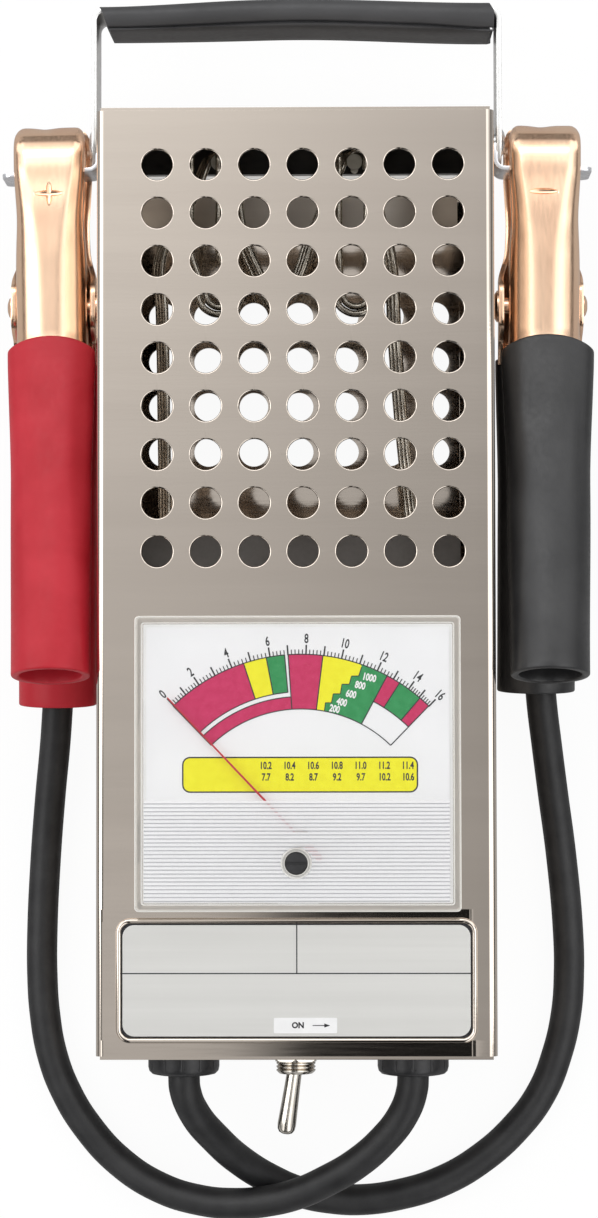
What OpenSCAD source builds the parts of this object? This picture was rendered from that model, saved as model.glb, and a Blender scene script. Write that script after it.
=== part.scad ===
// Handheld battery load tester: a folded sheet-steel housing with a vented load chamber,
// a panel meter, a momentary toggle, a carrying handle and two sprung clamps on leads.
// The tester lies on its back: +Z leaves the dial face, +Y points to the handle, and the
// origin is the centre of the rear panel. All sizes are in millimetres.

/* [Housing] */
// Width of the housing
body_w = 110; // [106:1:114]
// Height of the housing, from the lead end to the handle end
body_h = 262; // [256:1:268]
// Depth of the housing, from the rear panel to the dial face
body_d = 68; // [64:1:70]
// Thickness of the sheet steel
sheet = 1; // [0.8:0.1:1.2]
// Outer radius of the folds beside the face
fold_r = 2; // [1.5:0.1:3]
// Width of the return flanges behind the face's folded sides
return_w = 7; // [5:0.5:8]

/* [Vents] */
// Diameter of each vent hole
vent_d = 8.5; // [7:0.1:9.5]
// Distance between vent holes
vent_pitch = 13.4; // [13:0.1:14]
// Vent columns
vent_cols = 7; // [3:1:7]
// Vent rows in the face
vent_rows = 9; // [3:1:9]
// Vent rows in the rear panel
rear_rows = 4; // [1:1:4]
// How far the face's vents sit to the right of the middle
vent_x = 2; // [0:0.5:2]
// Height of the vents' middle above the housing's middle
vent_y = 61.3; // [60:0.1:62]

/* [Meter] */
// Width of the clear meter cover
cover_w = 89; // [86:0.5:92]
// Height of the clear meter cover
cover_h = 80.6; // [78:0.2:82]
// How far the meter cover stands proud of the face
cover_rise = 7; // [6:0.5:9]
// Middle of the meter cover along the housing
meter_y = -50.6; // [-52:0.1:-49]
// Distance from the meter cover's middle down to the pointer's axis
pointer_drop = 20.4; // [19:0.1:21]
// Length of the pointer beyond its axis
pointer_l = 53; // [48:0.5:54]
// Angle between the pointer at rest and straight up
pointer_rest = 43.5; // [40:0.5:45]
// Radius of the meter's round case behind the face
case_r = 26; // [25:0.5:26]
// Depth of the meter's round case behind the face
case_l = 32; // [30:1:34]

/* [Handle] */
// Height of the handle's pivots above the housing's middle
pivot_y = 127; // [126:0.5:127]
// Distance from the pivots to the grip
handle_reach = 35.5; // [35:0.5:40]
// Width of the handle's steel strap
strap_w = 18; // [16:1:18]
// Thickness of the handle's steel strap
strap_t = 2; // [1.6:0.1:2]

/* [Clamps] */
// Distance of each clamp from the housing's middle plane
clamp_x = 69.6; // [69:0.1:71]
// Height of the clamps' hinges above the housing's middle
hinge_y = 79.8; // [79:0.1:80.5]
// Tilt of the front handle away from the hinge line
front_tilt = 11; // [10:0.5:12]
// Tilt of the rear handle away from the hinge line
rear_tilt = 6; // [5.8:0.1:6.2]
// Sideways lean of the left and the right clamp's front half
clamp_lean = [0.9, 0.5]; // [0:0.1:1]
// Thickness of the clamps' copper-plated steel
clamp_t = 1.5; // [1.2:0.1:1.6]
// Outer diameter of a clamp sleeve at its open end
sleeve_d = 22; // [21:0.5:22]
// Wall of a clamp sleeve
sleeve_wall = 2.4; // [2:0.1:2.6]

/* [Leads and switch] */
// Diameter of the leads
lead_d = 9; // [8:0.5:9]
// Distance of each lead's gland from the housing's middle plane
gland_x = 32.5; // [31:0.5:34]
// Outer diameter of the glands
gland_d = 20.2; // [18:0.2:21]
// How far the glands stand out of the housing
gland_l = 7.7; // [7:0.1:9]
// Rest tilt of the toggle lever
lever_tilt = 8.4; // [7:0.1:9]
// Length of the toggle lever beyond its pivot
lever_l = 20.8; // [18:0.2:22]

/* [Hidden] */

$fn = 48;
steel = [0.78, 0.75, 0.71];
dark_steel = [0.5, 0.48, 0.46];
copper = [0.85, 0.55, 0.38];
brass = [0.8, 0.65, 0.3];
black_rubber = [0.12, 0.12, 0.13];
red_rubber = [0.75, 0.12, 0.17];
phenolic = [0.08, 0.07, 0.06];

left = -1;
right = 1;
half_w = body_w / 2;
half_h = body_h / 2;
mid_z = body_d / 2;
face_in = body_d - sheet;

// Meter levels, counted up from the face
meter_x = 0.5;
axis_x = meter_x + 0.8;
axis_y = meter_y - pointer_drop;
base_t = 1.2;
dial_t = 0.6;
dial_z = body_d + base_t;
pointer_z = dial_z + dial_t + 1.3;
pointer_t = 0.5;
cover_top = body_d + cover_rise;
cover_wall = 2;
bridge_x = 12;
bridge_z = cover_top - cover_wall - 0.2;
bridge_t = 0.8;
spindle_r = 0.7;
case_y = meter_y - 12.9;
case_z = body_d - case_l;
zero_y = axis_y - 6.7;
zero_r = 3;

// Load chamber
wire_d = 2;
board_y = 120.4;
board_z = 18;
board_t = 3;
terminal_y = 12;
terminal_z = 30;
shield_y = -4;
shield_z = 46;
wire_gap = [1, 0, 2.4];

// Switch
toggle_x = -0.7;
toggle_y = -half_h;
lever_pivot = [toggle_x, toggle_y - 4, mid_z];
bush_r = 5.6;
bush_bore = 3.6;
switch_l = 22;

// Handle stack, outwards from the housing's side
strap_gap = 0.25;
strap_x = half_w + strap_gap;
tab_t = 1.5;
tab_x = strap_x + strap_t + strap_gap;
tab_y = 116.4;
tab_out = 84;
tab_w = 16;
tab_bend = 1.5;
rivet_r = 2.5;

// Clamps, measured from each hinge
clamp_rivet_r = 2.5;
jaw_l = 50;
sleeve_top = 11.8;
front_sleeve_l = 96.3;
rear_sleeve_l = 102.8;
sleeve_mid = 10.2;

// Routes of the leads, from each gland to the clamp that it feeds
left_route = [
    [gland_x, -half_h - gland_l, mid_z], [32.5, -143, 34], [30.3, -150, 32.6], [24, -158, 30],
    [16, -165, 27], [8, -170, 23.8], [0, -174, 20.5], [-9, -176.8, 17.3], [-18, -178, 14.2],
    [-29, -177.5, 10.8], [-41, -174, 7.8], [-52.5, -167, 5.6], [-62, -157, 4.7],
    [-68.5, -146.5, 4.6], [-72.5, -136, 4.6], [-74.7, -124, 4.6], [-75.5, -112, 4.6],
    [-75.5, -100, 4.6], [-74.6, -80, 5], [-73, -60, 6.8], [-71.4, -45, 9.3],
    [-70.5, -34, 11.3], [-70, -27, 12.5], [-69.8, -20, 13.6]
];
right_route = [
    [-gland_x, -half_h - gland_l, mid_z], [-32.5, -143, 34], [-30.2, -150, 30],
    [-24, -158.5, 22.2], [-16.5, -166, 14], [-8.5, -171.5, 9.4], [0, -175.5, 6.8],
    [9, -177.5, 5.4], [18, -178, 4.7], [29, -176.5, 4.6], [41, -172.8, 4.6],
    [52.5, -166.3, 4.6], [63.5, -156.5, 4.6], [70.5, -147, 4.6], [75, -136, 4.6],
    [77.8, -124, 4.6], [78.7, -112, 4.6], [78.5, -100, 4.6], [76.6, -78, 5],
    [74.2, -60, 6.8], [72.2, -45, 9.3], [70.8, -34, 11.3], [70.2, -27, 12.5],
    [69.8, -20, 13.6]
];

// ---------------------------------------------------------------- helpers

function unit(v) = v / norm(v);
function tangent(p, i) = unit(p[min(i + 1, len(p) - 1)] - p[max(i - 1, 0)]);
function flattened(v, t) = unit(v - (v * t) * t);
function catmull(a, b, c, d, t) =
    0.5 * (2 * b + (c - a) * t + (2 * a - 5 * b + 4 * c - d) * t * t
           + (3 * b - a - 3 * c + d) * t * t * t);
// A smooth line through hand-picked points, straight at both ends, steps rings to a stretch
function smoothed(p, steps) = [
    for (i = [0 : len(p) - 2], s = [0 : i == 0 || i == len(p) - 2 ? 0 : steps - 1])
        catmull(p[max(i - 1, 0)], p[i], p[i + 1], p[min(i + 2, len(p) - 1)], s / steps),
    p[len(p) - 1]
];
function shifted(p, by) = [for (q = p) q + by];

// A tube of diameter d along the points p; side is any direction across its start
module tube(p, d, sides = 8, side = [0, 0, 1]) {
    across = [for (i = 0, n = flattened(side, tangent(p, 0)); i < len(p);
                   i = i + 1, n = i < len(p) ? flattened(n, tangent(p, i)) : n) n];
    rings = [for (i = [0 : len(p) - 1], k = [0 : sides - 1])
        p[i] + d / 2 * (cos(360 * k / sides) * across[i]
                        + sin(360 * k / sides) * cross(tangent(p, i), across[i]))];
    walls = [for (i = [0 : len(p) - 2], k = [0 : sides - 1])
        [i * sides + k, i * sides + (k + 1) % sides,
         (i + 1) * sides + (k + 1) % sides, (i + 1) * sides + k]];
    polyhedron(rings, concat([for (w = walls) [w[3], w[2], w[1], w[0]]],
                             [[for (k = [0 : sides - 1]) k]],
                             [[for (k = [sides - 1 : -1 : 0]) (len(p) - 1) * sides + k]]));
}

// A rectangle with round corners, drawn in a plane
module round_rect(w, h, r) {
    square([w - 2 * r, h], center = true);
    square([w, h - 2 * r], center = true);
    for (x = [-1, 1], y = [-1, 1]) translate([x * (w / 2 - r), y * (h / 2 - r)]) circle(r);
}

module plate(w, h, r, z0, z1, x = 0, y = 0) {
    translate([x, y, z0]) linear_extrude(z1 - z0) round_rect(w, h, r);
}

// A cylinder along X from x0 to x1
module rod_x(r, x0, x1, y, z) {
    translate([min(x0, x1), y, z]) rotate([0, 90, 0]) cylinder(r = r, h = abs(x1 - x0));
}

// A low domed head that stands on X = x, on side s of the middle plane
module head_x(s, r, h, x, y, z) {
    translate([x, y, z]) rotate([0, s * 90, 0]) rotate_extrude()
        polygon([[0, 0], [r, 0], [r, h * 0.35], [r * 0.85, h * 0.7], [r * 0.5, h], [0, h]]);
}

// A cylinder along Y from y0 to y1
module rod_y(r, y0, y1, x, z) {
    translate([x, max(y0, y1), z]) rotate([90, 0, 0]) cylinder(r = r, h = abs(y1 - y0));
}

// A cylinder along Z from z0 to z1
module rod_z(r, z0, z1, x, y) {
    translate([x, y, z0]) cylinder(r = r, h = z1 - z0);
}

module block(low, high) {
    translate(low) cube(high - low);
}

// ---------------------------------------------------------------- housing

ear_y = 101;
ear_w = 16;
screw_r = 1.5;

module folded_section() {
    difference() {
        union() {
            translate([-half_w, sheet]) square([body_w, body_d - sheet - fold_r]);
            translate([-half_w + fold_r, sheet]) square([body_w - 2 * fold_r, body_d - sheet]);
            for (s = [left, right])
                translate([s * (half_w - fold_r), body_d - fold_r]) circle(fold_r);
        }
        translate([-half_w + sheet, 2 * sheet]) square([body_w - 2 * sheet, body_d - sheet - 2 * fold_r]);
        translate([-half_w + fold_r, 2 * sheet]) square([body_w - 2 * fold_r, body_d - 3 * sheet]);
        for (s = [left, right])
            translate([s * (half_w - fold_r), body_d - fold_r]) circle(fold_r - sheet);
        translate([-half_w + sheet + return_w - 0.5, 0])
            square([body_w - 2 * (sheet + return_w - 0.5), 3 * sheet]);
    }
}

module vents(rows, x, z0, z1) {
    for (c = [0 : vent_cols - 1], r = [0 : rows - 1])
        rod_z(vent_d / 2, z0, z1, x + (c - (vent_cols - 1) / 2) * vent_pitch,
              vent_y + (r - (rows - 1) / 2) * vent_pitch);
}

bead_w = 98.9;
bead_h = 34.1;
bead_t = 1.3;
bead_y = -109.9;

module front_cover() {
    color(steel) {
        difference() {
            rotate([90, 0, 0]) linear_extrude(body_h, center = true) folded_section();
            vents(vent_rows, vent_x, face_in - 1, body_d + 1);
            rod_z(case_r, face_in - 1, body_d + 1, meter_x, case_y);
            for (s = [left, right]) {
                rod_x(rivet_r, s * (half_w - 2), s * (half_w + 1), pivot_y, mid_z);
                for (e = [-1, 1]) {
                    rod_x(screw_r, s * (half_w - 2), s * (half_w + 1), e * ear_y, mid_z);
                    translate([s * (half_w - return_w / 2 - sheet), e * ear_y, 1.5])
                        cube([return_w + 1, ear_w + 2, 2], center = true);
                }
            }
        }
        difference() {
            plate(bead_w, bead_h, 4, body_d, body_d + 0.8, 0, bead_y);
            plate(bead_w - 2 * bead_t, bead_h - 2 * bead_t, 4 - bead_t, body_d - 1, body_d + 2, 0, bead_y);
        }
    }
}

module rear_cover() {
    end_x = half_w - sheet - 0.1;
    end_panel = [[-end_x, sheet], [end_x, sheet], [end_x, face_in - 1], [end_x - 1, face_in],
                 [1 - end_x, face_in], [-end_x, face_in - 1]];
    color(steel) difference() {
        union() {
            block([-half_w, -half_h, 0], [half_w, half_h, sheet]);
            for (e = [-1, 1]) {
                translate([0, e * (half_h - sheet / 2) + sheet / 2, 0]) rotate([90, 0, 0])
                    linear_extrude(sheet) polygon(end_panel);
                for (s = [left, right])
                    translate([s * (half_w - sheet * 1.5 - 0.1), e * ear_y, 21])
                        cube([sheet, ear_w, 42], center = true);
            }
        }
        vents(rear_rows, 0, -1, sheet + 1);
        for (s = [left, right]) {
            rod_y(gland_d / 2 - 3, -half_h - 1, -half_h + 2, s * gland_x, mid_z);
            for (e = [-1, 1])
                rod_x(screw_r, s * (half_w - 4), s * (half_w + 1), e * ear_y, mid_z);
            // Clear the return flanges where the end panels meet them
            for (e = [-1, 1])
                translate([s * (half_w - return_w / 2), e * half_h, sheet * 1.5])
                    cube([return_w + 1, 6, sheet + 0.02], center = true);
        }
        rod_y(bush_r, -half_h - 1, -half_h + 2, toggle_x, mid_z);
    }
}

module cover_screws() {
    color(steel) for (s = [left, right], e = [-1, 1]) difference() {
        union() {
            rod_x(screw_r, s * (half_w - 5), s * half_w, e * ear_y, mid_z);
            head_x(s, 2.4, 1.4, s * half_w, e * ear_y, mid_z);
        }
        translate([s * (half_w + 1.3), e * ear_y, mid_z]) cube([1.2, 0.6, 6], center = true);
    }
}

module label_plate() {
    color([0.85, 0.85, 0.86])
        plate(96, 31, 2.4, body_d, body_d + 0.4, 0, bead_y);
}

// ---------------------------------------------------------------- load chamber

module heat_shield() {
    color(dark_steel) difference() {
        union() {
            block([-46, shield_y - 1, sheet], [46, shield_y, shield_z]);
            block([-46, shield_y - 1, shield_z], [46, terminal_y + 1.5, shield_z + 1]);
            block([-46, shield_y - 11, sheet], [46, shield_y - 1, 2 * sheet]);
        }
        rod_y(lead_d / 2 + 1, shield_y - 2, shield_y + 1, -38, terminal_z);
        rod_y(3.5, shield_y - 2, shield_y + 1, 33, terminal_z);
        rod_y(2.2, shield_y - 2, shield_y + 1, -27.5, terminal_z);
    }
}

hanger_xs = [-22.5, 16.5];
hanger_y = 121.6;
hanger_r = 1.1;
cap_z = 33.6;

module load_board() {
    color(phenolic) difference() {
        block([-50, board_y, board_z], [50, half_h - sheet, board_z + board_t]);
        for (x = hanger_xs) rod_z(hanger_r, board_z - 1, board_z + board_t + 1, x, hanger_y);
    }
}

module board_rail() {
    color([0.86, 0.86, 0.85]) difference() {
        union() {
            block([-47, board_y - 9, sheet], [47, board_y + 5.6, 2 * sheet]);
            block([-47, board_y + 4.6, 2 * sheet], [47, board_y + 5.6, board_z - 1]);
            block([-50, board_y - 1, board_z - 1], [50, board_y + 5.6, board_z]);
            block([-50, board_y - 1, board_z], [50, board_y, board_z + board_t]);
        }
        for (x = hanger_xs) rod_z(1.8, board_z - 2, board_z + board_t + 1, x, hanger_y + 0.6);
    }
}

module wire_hangers() {
    color([0.85, 0.82, 0.75]) for (x = hanger_xs) {
        rod_z(hanger_r, board_z, cap_z, x, hanger_y);
        rod_z(2.2, cap_z, cap_z + 1, x, hanger_y);
    }
}

// The main load wires run up the left, over both hangers and down the right
main_path = [
    [-38, terminal_y, 30], [-38, 16, 30], [-38.4, 45, 30], [-39, 80, 30], [-39.6, 94, 30],
    [-34, 106, 30], [-29.5, 113, 30], [-27.4, 119.5, 30], [-25, 123.8, 30], [-22.5, 125, 30],
    [-20, 123.8, 30], [-17.8, 119.5, 30], [-17.4, 110, 30], [-15.4, 99, 30], [-11.6, 90, 30],
    [-8.6, 83.6, 30], [-5.7, 80.6, 30], [-2.8, 83.6, 30], [0.4, 90, 30], [3.4, 99, 30],
    [7.5, 109, 30], [11.6, 119.5, 30], [14, 123.8, 30], [16.5, 125, 30], [19, 123.8, 30],
    [21.4, 119.5, 30], [23, 108, 30], [26.4, 95, 30], [28, 70, 30], [30, 45, 30],
    [32.6, 20, 30], [33, 16, 30], [33, terminal_y, 30]
];

module load_wires() {
    color(dark_steel) for (k = [-1, 0, 1])
        tube(smoothed(shifted(main_path, k * wire_gap), 3), wire_d);
}

// Hairpins start in the board, pass over the hangers' caps and turn back lower down
hairpin_half = 4;
hairpin_low = 79.6;
hairpin_end = board_y + 7.2;
function hairpin_leg(x, z) = [
    [x, hairpin_end, board_z + board_t], [x, hairpin_end, board_z + board_t + 6],
    [x, hairpin_end - 0.4, z - 3], [x, board_y + 4, z + 0.8], [x, board_y - 2, z],
    [x, 108, z], [x, 95, z]
];
function reversed(p) = [for (i = [len(p) - 1 : -1 : 0]) p[i]];
function hairpin_path(x, z, h, low) = concat(
    hairpin_leg(x - h, z),
    [for (a = [180 : 30 : 360]) [x + h * cos(a), low + h + h * sin(a), z]],
    reversed(hairpin_leg(x + h, z))
);

module hairpin_wires(x) {
    color(dark_steel) for (k = [0, 1])
        tube(smoothed(hairpin_path(x, 36 + 2.6 * k, hairpin_half + 2.3 * k, hairpin_low - 2.4 * k), 2),
             wire_d, 8, [1, 0, 0]);
}

module hairpin_wires_left() { hairpin_wires(-26.3); }
module hairpin_wires_right() { hairpin_wires(16); }

module terminal_block() {
    color(phenolic) block([-45, shield_y, sheet], [42, terminal_y - 2, terminal_z - 8]);
}

module terminal(x) {
    color(brass) difference() {
        block([x - 6, shield_y + 4, terminal_z - 8], [x + 6, terminal_y, terminal_z + 8]);
        rod_z(1.6, terminal_z - 4, terminal_z + 9, x, shield_y + 10);
    }
}

module terminal_left() { terminal(-38); }
module terminal_right() { terminal(33); }

module terminal_screws() {
    color(steel) for (x = [-38, 33]) {
        rod_z(1.6, terminal_z - 4, terminal_z + 8, x, shield_y + 10);
        rod_z(3.2, terminal_z + 8, terminal_z + 10.5, x, shield_y + 10);
    }
}

// ---------------------------------------------------------------- leads and switch

module gland(s) {
    color(black_rubber) difference() {
        union() {
            rod_y(gland_d / 2, -half_h, -half_h - gland_l + 1.5, s * gland_x, mid_z);
            translate([s * gland_x, -half_h - gland_l + 1.5, mid_z]) rotate([90, 0, 0])
                cylinder(r1 = gland_d / 2, r2 = gland_d / 2 - 1.5, h = 1.5);
            rod_y(gland_d / 2 - 3, -half_h, -half_h + 8, s * gland_x, mid_z);
        }
        rod_y(lead_d / 2, -half_h - gland_l - 1, -half_h + 9, s * gland_x, mid_z);
    }
}

module gland_left() { gland(left); }
module gland_right() { gland(right); }

module gland_nuts() {
    color(black_rubber) for (s = [left, right])
        translate([s * gland_x, -half_h + sheet, mid_z]) rotate([-90, 0, 0]) difference() {
            cylinder(r = gland_d / 2, h = 4.5, $fn = 6);
            translate([0, 0, -1]) cylinder(r = gland_d / 2 - 3, h = 7);
        }
}

studs = [toggle_x - 4.2, toggle_x + 4.2];
left_inner_path = [
    [-gland_x, -half_h - gland_l, mid_z], [-gland_x, -122, mid_z], [-33.5, -108, 33],
    [-36, -90, 31.5], [-37.6, -70, 30.4], [-38, -48, 30], [-38, -22, 30], [-38, -5, 30],
    [-38, shield_y + 4, 30]
];
lug_y = toggle_y + 34.5;
right_inner_path = [
    [gland_x, -half_h - gland_l, mid_z], [gland_x, -124, mid_z], [31.4, -112, mid_z],
    [27, -102.5, mid_z], [20, -97.5, mid_z], [13, lug_y, mid_z], [studs[1] + 3.7, lug_y, mid_z]
];
jumper_path = [
    [studs[0] - 3.7, lug_y, mid_z], [-13, lug_y, mid_z], [-16, -93, 30], [-14, -84, 23],
    [-2, -72, 19.5], [14, -55, 20], [27, -33, 25], [33, -16, 29.6], [33, -8, terminal_z],
    [33, shield_y + 4, terminal_z]
];
positive_path = [
    [12.5, case_y, 24], [12.5, case_y, 19], [11.6, -72, 13], [8, -86, 12], [studs[1], -96, 17],
    [studs[1], -101, 24], [studs[1], -101, mid_z - 1.8]
];
negative_path = [
    [-11.5, case_y, 24], [-11.5, case_y, 19], [-17, -52, 16], [-24, -34, 20], [-27.5, -16, 28],
    [-27.5, -8, terminal_z], [-27.5, 0, terminal_z], [-29, 5.4, terminal_z], [-30.6, 6, terminal_z],
    [-32, 6, terminal_z]
];

module inner_lead_left() {
    color(black_rubber) tube(smoothed(left_inner_path, 2), lead_d, 12);
}

module inner_lead_right() {
    color(black_rubber) tube(smoothed(right_inner_path, 3), lead_d, 12);
}

module jumper_lead() {
    color(black_rubber) tube(smoothed(jumper_path, 3), 5);
}

module meter_wires() {
    color(red_rubber) tube(smoothed(positive_path, 3), 2.4, 8, [1, 0, 0]);
    color(phenolic) tube(smoothed(negative_path, 3), 2.4, 8, [1, 0, 0]);
}

module toggle_body() {
    low = [toggle_x - 9, toggle_y + sheet, mid_z - 14];
    high = [toggle_x + 9, toggle_y + sheet + switch_l, mid_z + 14];
    color(phenolic) difference() {
        block(low, high);
        block(low + [2, 2.5, 3], high - [2, 2.5, 3]);
        rod_y(bush_bore, toggle_y, toggle_y + 5, toggle_x, mid_z);
        for (x = studs) rod_y(1.8, high[1] - 4, high[1] + 1, x, mid_z);
    }
}

// The bushing's outer end carries three turns of thread
module toggle_bushing() {
    turn = 1;
    color(steel) translate([toggle_x, toggle_y + sheet, mid_z]) rotate([90, 0, 0]) rotate_extrude()
        polygon(concat([[bush_bore, 0], [bush_r, 0], [bush_r, 5]],
            [for (i = [0 : 2], k = [0, 1]) [bush_r - 0.55 * k - 0.15, 5.2 + (i + k / 2) * turn]],
            [[bush_r - 0.5, 8.4], [bush_bore, 8.4]]));
}

module toggle_nut() {
    color(steel) translate([toggle_x, toggle_y, mid_z]) rotate([90, 0, 0]) difference() {
        intersection() {
            cylinder(r = 6.7, h = 3.9, $fn = 6);
            cylinder(r1 = 6.7, r2 = 6.3, h = 3.9);
        }
        translate([0, 0, -1]) cylinder(r = bush_r, h = 7);
    }
}

module at_lever() {
    translate(lever_pivot) rotate([0, 0, -lever_tilt]) rotate([90, 0, 0]) children();
}

module toggle_lever() {
    color(steel) at_lever() {
        sphere(r = bush_bore - 0.3);
        cylinder(r1 = 2.1, r2 = 2.6, h = lever_l - 2.2);
        translate([0, 0, lever_l - 2.2]) cylinder(r1 = 2.6, r2 = 1.7, h = 2.2);
        translate([0, 0, -18]) cylinder(r = 1.3, h = 17);
    }
}

module contact_bridge() {
    color(brass) at_lever() difference() {
        translate([0, 0, -18.5]) cube([5, 12, 3], center = true);
        translate([0, 0, -18]) cylinder(r = 1.3, h = 17);
    }
}

module switch_studs() {
    y1 = toggle_y + sheet + switch_l;
    color(brass) for (x = studs) {
        rod_y(1.8, y1 - 2.5, lug_y + 4.4, x, mid_z);
        rod_y(2.6, y1 - 4, y1 - 2.5, x, mid_z);
        rod_x(2.9, x, x + sign(x) * 3.7, lug_y, mid_z);
    }
}

// ---------------------------------------------------------------- meter

module meter_cover() {
    inner_w = cover_w - 2 * cover_wall;
    inner_h = cover_h - 2 * cover_wall;
    color([0.9, 0.95, 1, 0.35]) difference() {
        plate(cover_w, cover_h, 1.2, body_d, cover_top, meter_x, meter_y);
        plate(inner_w, inner_h, 0.6, body_d - 1, cover_top - cover_wall, meter_x, meter_y);
        rod_z(zero_r + 0.1, body_d, cover_top + 1, axis_x - 1.2, zero_y);
    }
}

stud_xs = [meter_x - 12, meter_x + 12];

module meter_case() {
    color([0.9, 0.9, 0.88]) difference() {
        union() {
            plate(cover_w - 2 * cover_wall - 0.2, cover_h - 2 * cover_wall - 0.2, 0.6,
                  body_d, dial_z, meter_x, meter_y);
            rod_z(case_r, case_z, body_d, meter_x, case_y);
        }
        rod_z(case_r - 1.8, case_z + 2, dial_z + 1, meter_x, case_y);
        for (x = stud_xs) rod_z(2, case_z - 1, case_z + 3, x, case_y);
    }
}

module dial_plate() {
    color("white") difference() {
        plate(cover_w - 2 * cover_wall - 2, cover_h - 2 * cover_wall - 2, 0.5,
              dial_z, dial_z + dial_t, meter_x, meter_y);
        rod_z(2.5, dial_z - 1, dial_z + 2, axis_x, axis_y);
        for (s = [-1, 1]) rod_z(1.4, dial_z - 1, dial_z + 2, axis_x + s * bridge_x, axis_y);
    }
}

coil_z = [case_z + 14, case_z + 28];
magnet_z = [coil_z[0] - 1, coil_z[1] + 1];

module magnet_ring() {
    color(dark_steel) {
        difference() {
            rod_z(14, magnet_z[0], magnet_z[1], axis_x, axis_y);
            rod_z(8.6, magnet_z[0] - 1, magnet_z[1] + 1, axis_x, axis_y);
        }
        for (s = [-1, 1]) rod_z(2, case_z + 2, magnet_z[0], axis_x + s * 11, axis_y + 2);
    }
}

module core_post() {
    color(steel) difference() {
        rod_z(5, case_z + 2, coil_z[1] - 3, axis_x, axis_y);
        rod_z(spindle_r + 0.05, coil_z[0] + 3.9, coil_z[1], axis_x, axis_y);
    }
}

module spindle() {
    rod_z(spindle_r, coil_z[0] + 4, bridge_z - 0.4, axis_x, axis_y);
}

// The coil's frame passes on both sides of the core and carries the spindle above it
module moving_coil() {
    color(copper) difference() {
        translate([axis_x, axis_y, 0]) {
            for (s = [-1, 1])
                block([s * 6.7 - 0.8, -3, coil_z[0] + 2], [s * 6.7 + 0.8, 3, coil_z[1]]);
            block([-7.5, -3, coil_z[1] - 1.6], [7.5, 3, coil_z[1]]);
        }
        spindle();
    }
    color(steel) spindle();
}

module pointer() {
    color([0.85, 0.1, 0.1]) translate([axis_x, axis_y, pointer_z]) rotate([0, 0, pointer_rest])
        linear_extrude(pointer_t) difference() {
            union() {
                polygon([[-0.35, 0], [0.35, 0], [0.18, pointer_l], [-0.18, pointer_l]]);
                circle(1.8);
                translate([-0.9, -8]) square([1.8, 7]);
            }
            circle(spindle_r);
        }
}

// A small bridge on the magnet holds the upper bearing over the pointer's hub
module pointer_bridge() {
    low = bridge_z - bridge_t;
    color(brass) difference() {
        union() {
            block([axis_x - bridge_x - 1.5, axis_y - 1.5, low],
                  [axis_x + bridge_x + 1.5, axis_y + 1.5, bridge_z]);
            for (s = [-1, 1]) rod_z(1.2, magnet_z[1], low, axis_x + s * bridge_x, axis_y);
        }
        rod_z(spindle_r + 0.05, low - 1, bridge_z - 0.3, axis_x, axis_y);
    }
}

// Three turns of fine spring lie under the bridge, round the spindle
module hairspring() {
    spring_t = 0.3;
    z = bridge_z - bridge_t - spring_t / 2;
    spiral = [for (a = [0 : 18 : 1080])
        [axis_x + (1 + a / 700) * cos(a), axis_y + (1 + a / 700) * sin(a), z]];
    color(brass) tube(spiral, spring_t, 4);
}

module zero_screw() {
    color(phenolic) difference() {
        union() {
            rod_z(zero_r, cover_top - cover_wall - 0.1, cover_top + 0.3, axis_x - 1.2, zero_y);
            rod_z(zero_r + 0.8, cover_top - cover_wall - 0.9, cover_top - cover_wall - 0.1,
                  axis_x - 1.2, zero_y);
        }
        translate([axis_x - 1.2, zero_y, cover_top + 0.1]) cube([2 * zero_r + 1, 0.9, 1.2], center = true);
    }
}

module meter_studs() {
    color(brass) for (x = stud_xs) {
        rod_z(2, 24, case_z + 2.5, x, case_y);
        difference() {
            rod_z(4.2, case_z - 3, case_z, x, case_y, $fn = 6);
            rod_z(2, case_z - 4, case_z + 1, x, case_y);
        }
    }
}

// ---------------------------------------------------------------- handle and tabs

module handle_strap() {
    out_x = strap_x + strap_t;
    top_y = pivot_y + handle_reach + strap_t / 2;
    bend = 4;
    color(steel) difference() {
        intersection() {
            translate([0, 0, mid_z - strap_w / 2]) linear_extrude(strap_w) difference() {
                union() {
                    translate([-out_x, pivot_y - strap_w / 2])
                        square([2 * out_x, top_y - bend - pivot_y + strap_w / 2]);
                    translate([-out_x + bend, top_y - bend - 1]) square([2 * (out_x - bend), bend + 1]);
                    for (s = [left, right]) translate([s * (out_x - bend), top_y - bend]) circle(bend);
                }
                translate([-strap_x, pivot_y - strap_w])
                    square([2 * strap_x, top_y - bend - pivot_y + strap_w]);
                translate([-strap_x + bend - strap_t, top_y - bend - 1])
                    square([2 * (strap_x - bend + strap_t), bend + 1 - strap_t]);
                for (s = [left, right])
                    translate([s * (out_x - bend), top_y - bend]) circle(bend - strap_t);
            }
            union() {
                rod_x(strap_w / 2, -70, 70, pivot_y, mid_z);
                block([-70, pivot_y, mid_z - strap_w / 2], [70, top_y + 1, mid_z + strap_w / 2]);
            }
        }
        for (s = [left, right])
            rod_x(rivet_r + 0.06, s * (half_w - 2), s * (half_w + 8), pivot_y, mid_z);
    }
}

grip_w = 24;
grip_h = 11;
grip_l = 106.5;

// The grip is a split rubber sleeve, pushed over the strap from above
module handle_grip() {
    color(black_rubber) translate([0, pivot_y + handle_reach, mid_z]) rotate([0, 90, 0])
        linear_extrude(grip_l, center = true) difference() {
            round_rect(grip_w, grip_h, grip_h / 2 - 0.01);
            square([strap_w, strap_t], center = true);
            translate([4.6, -grip_h / 2]) square([1.2, grip_h - strap_t], center = true);
        }
}

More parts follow.
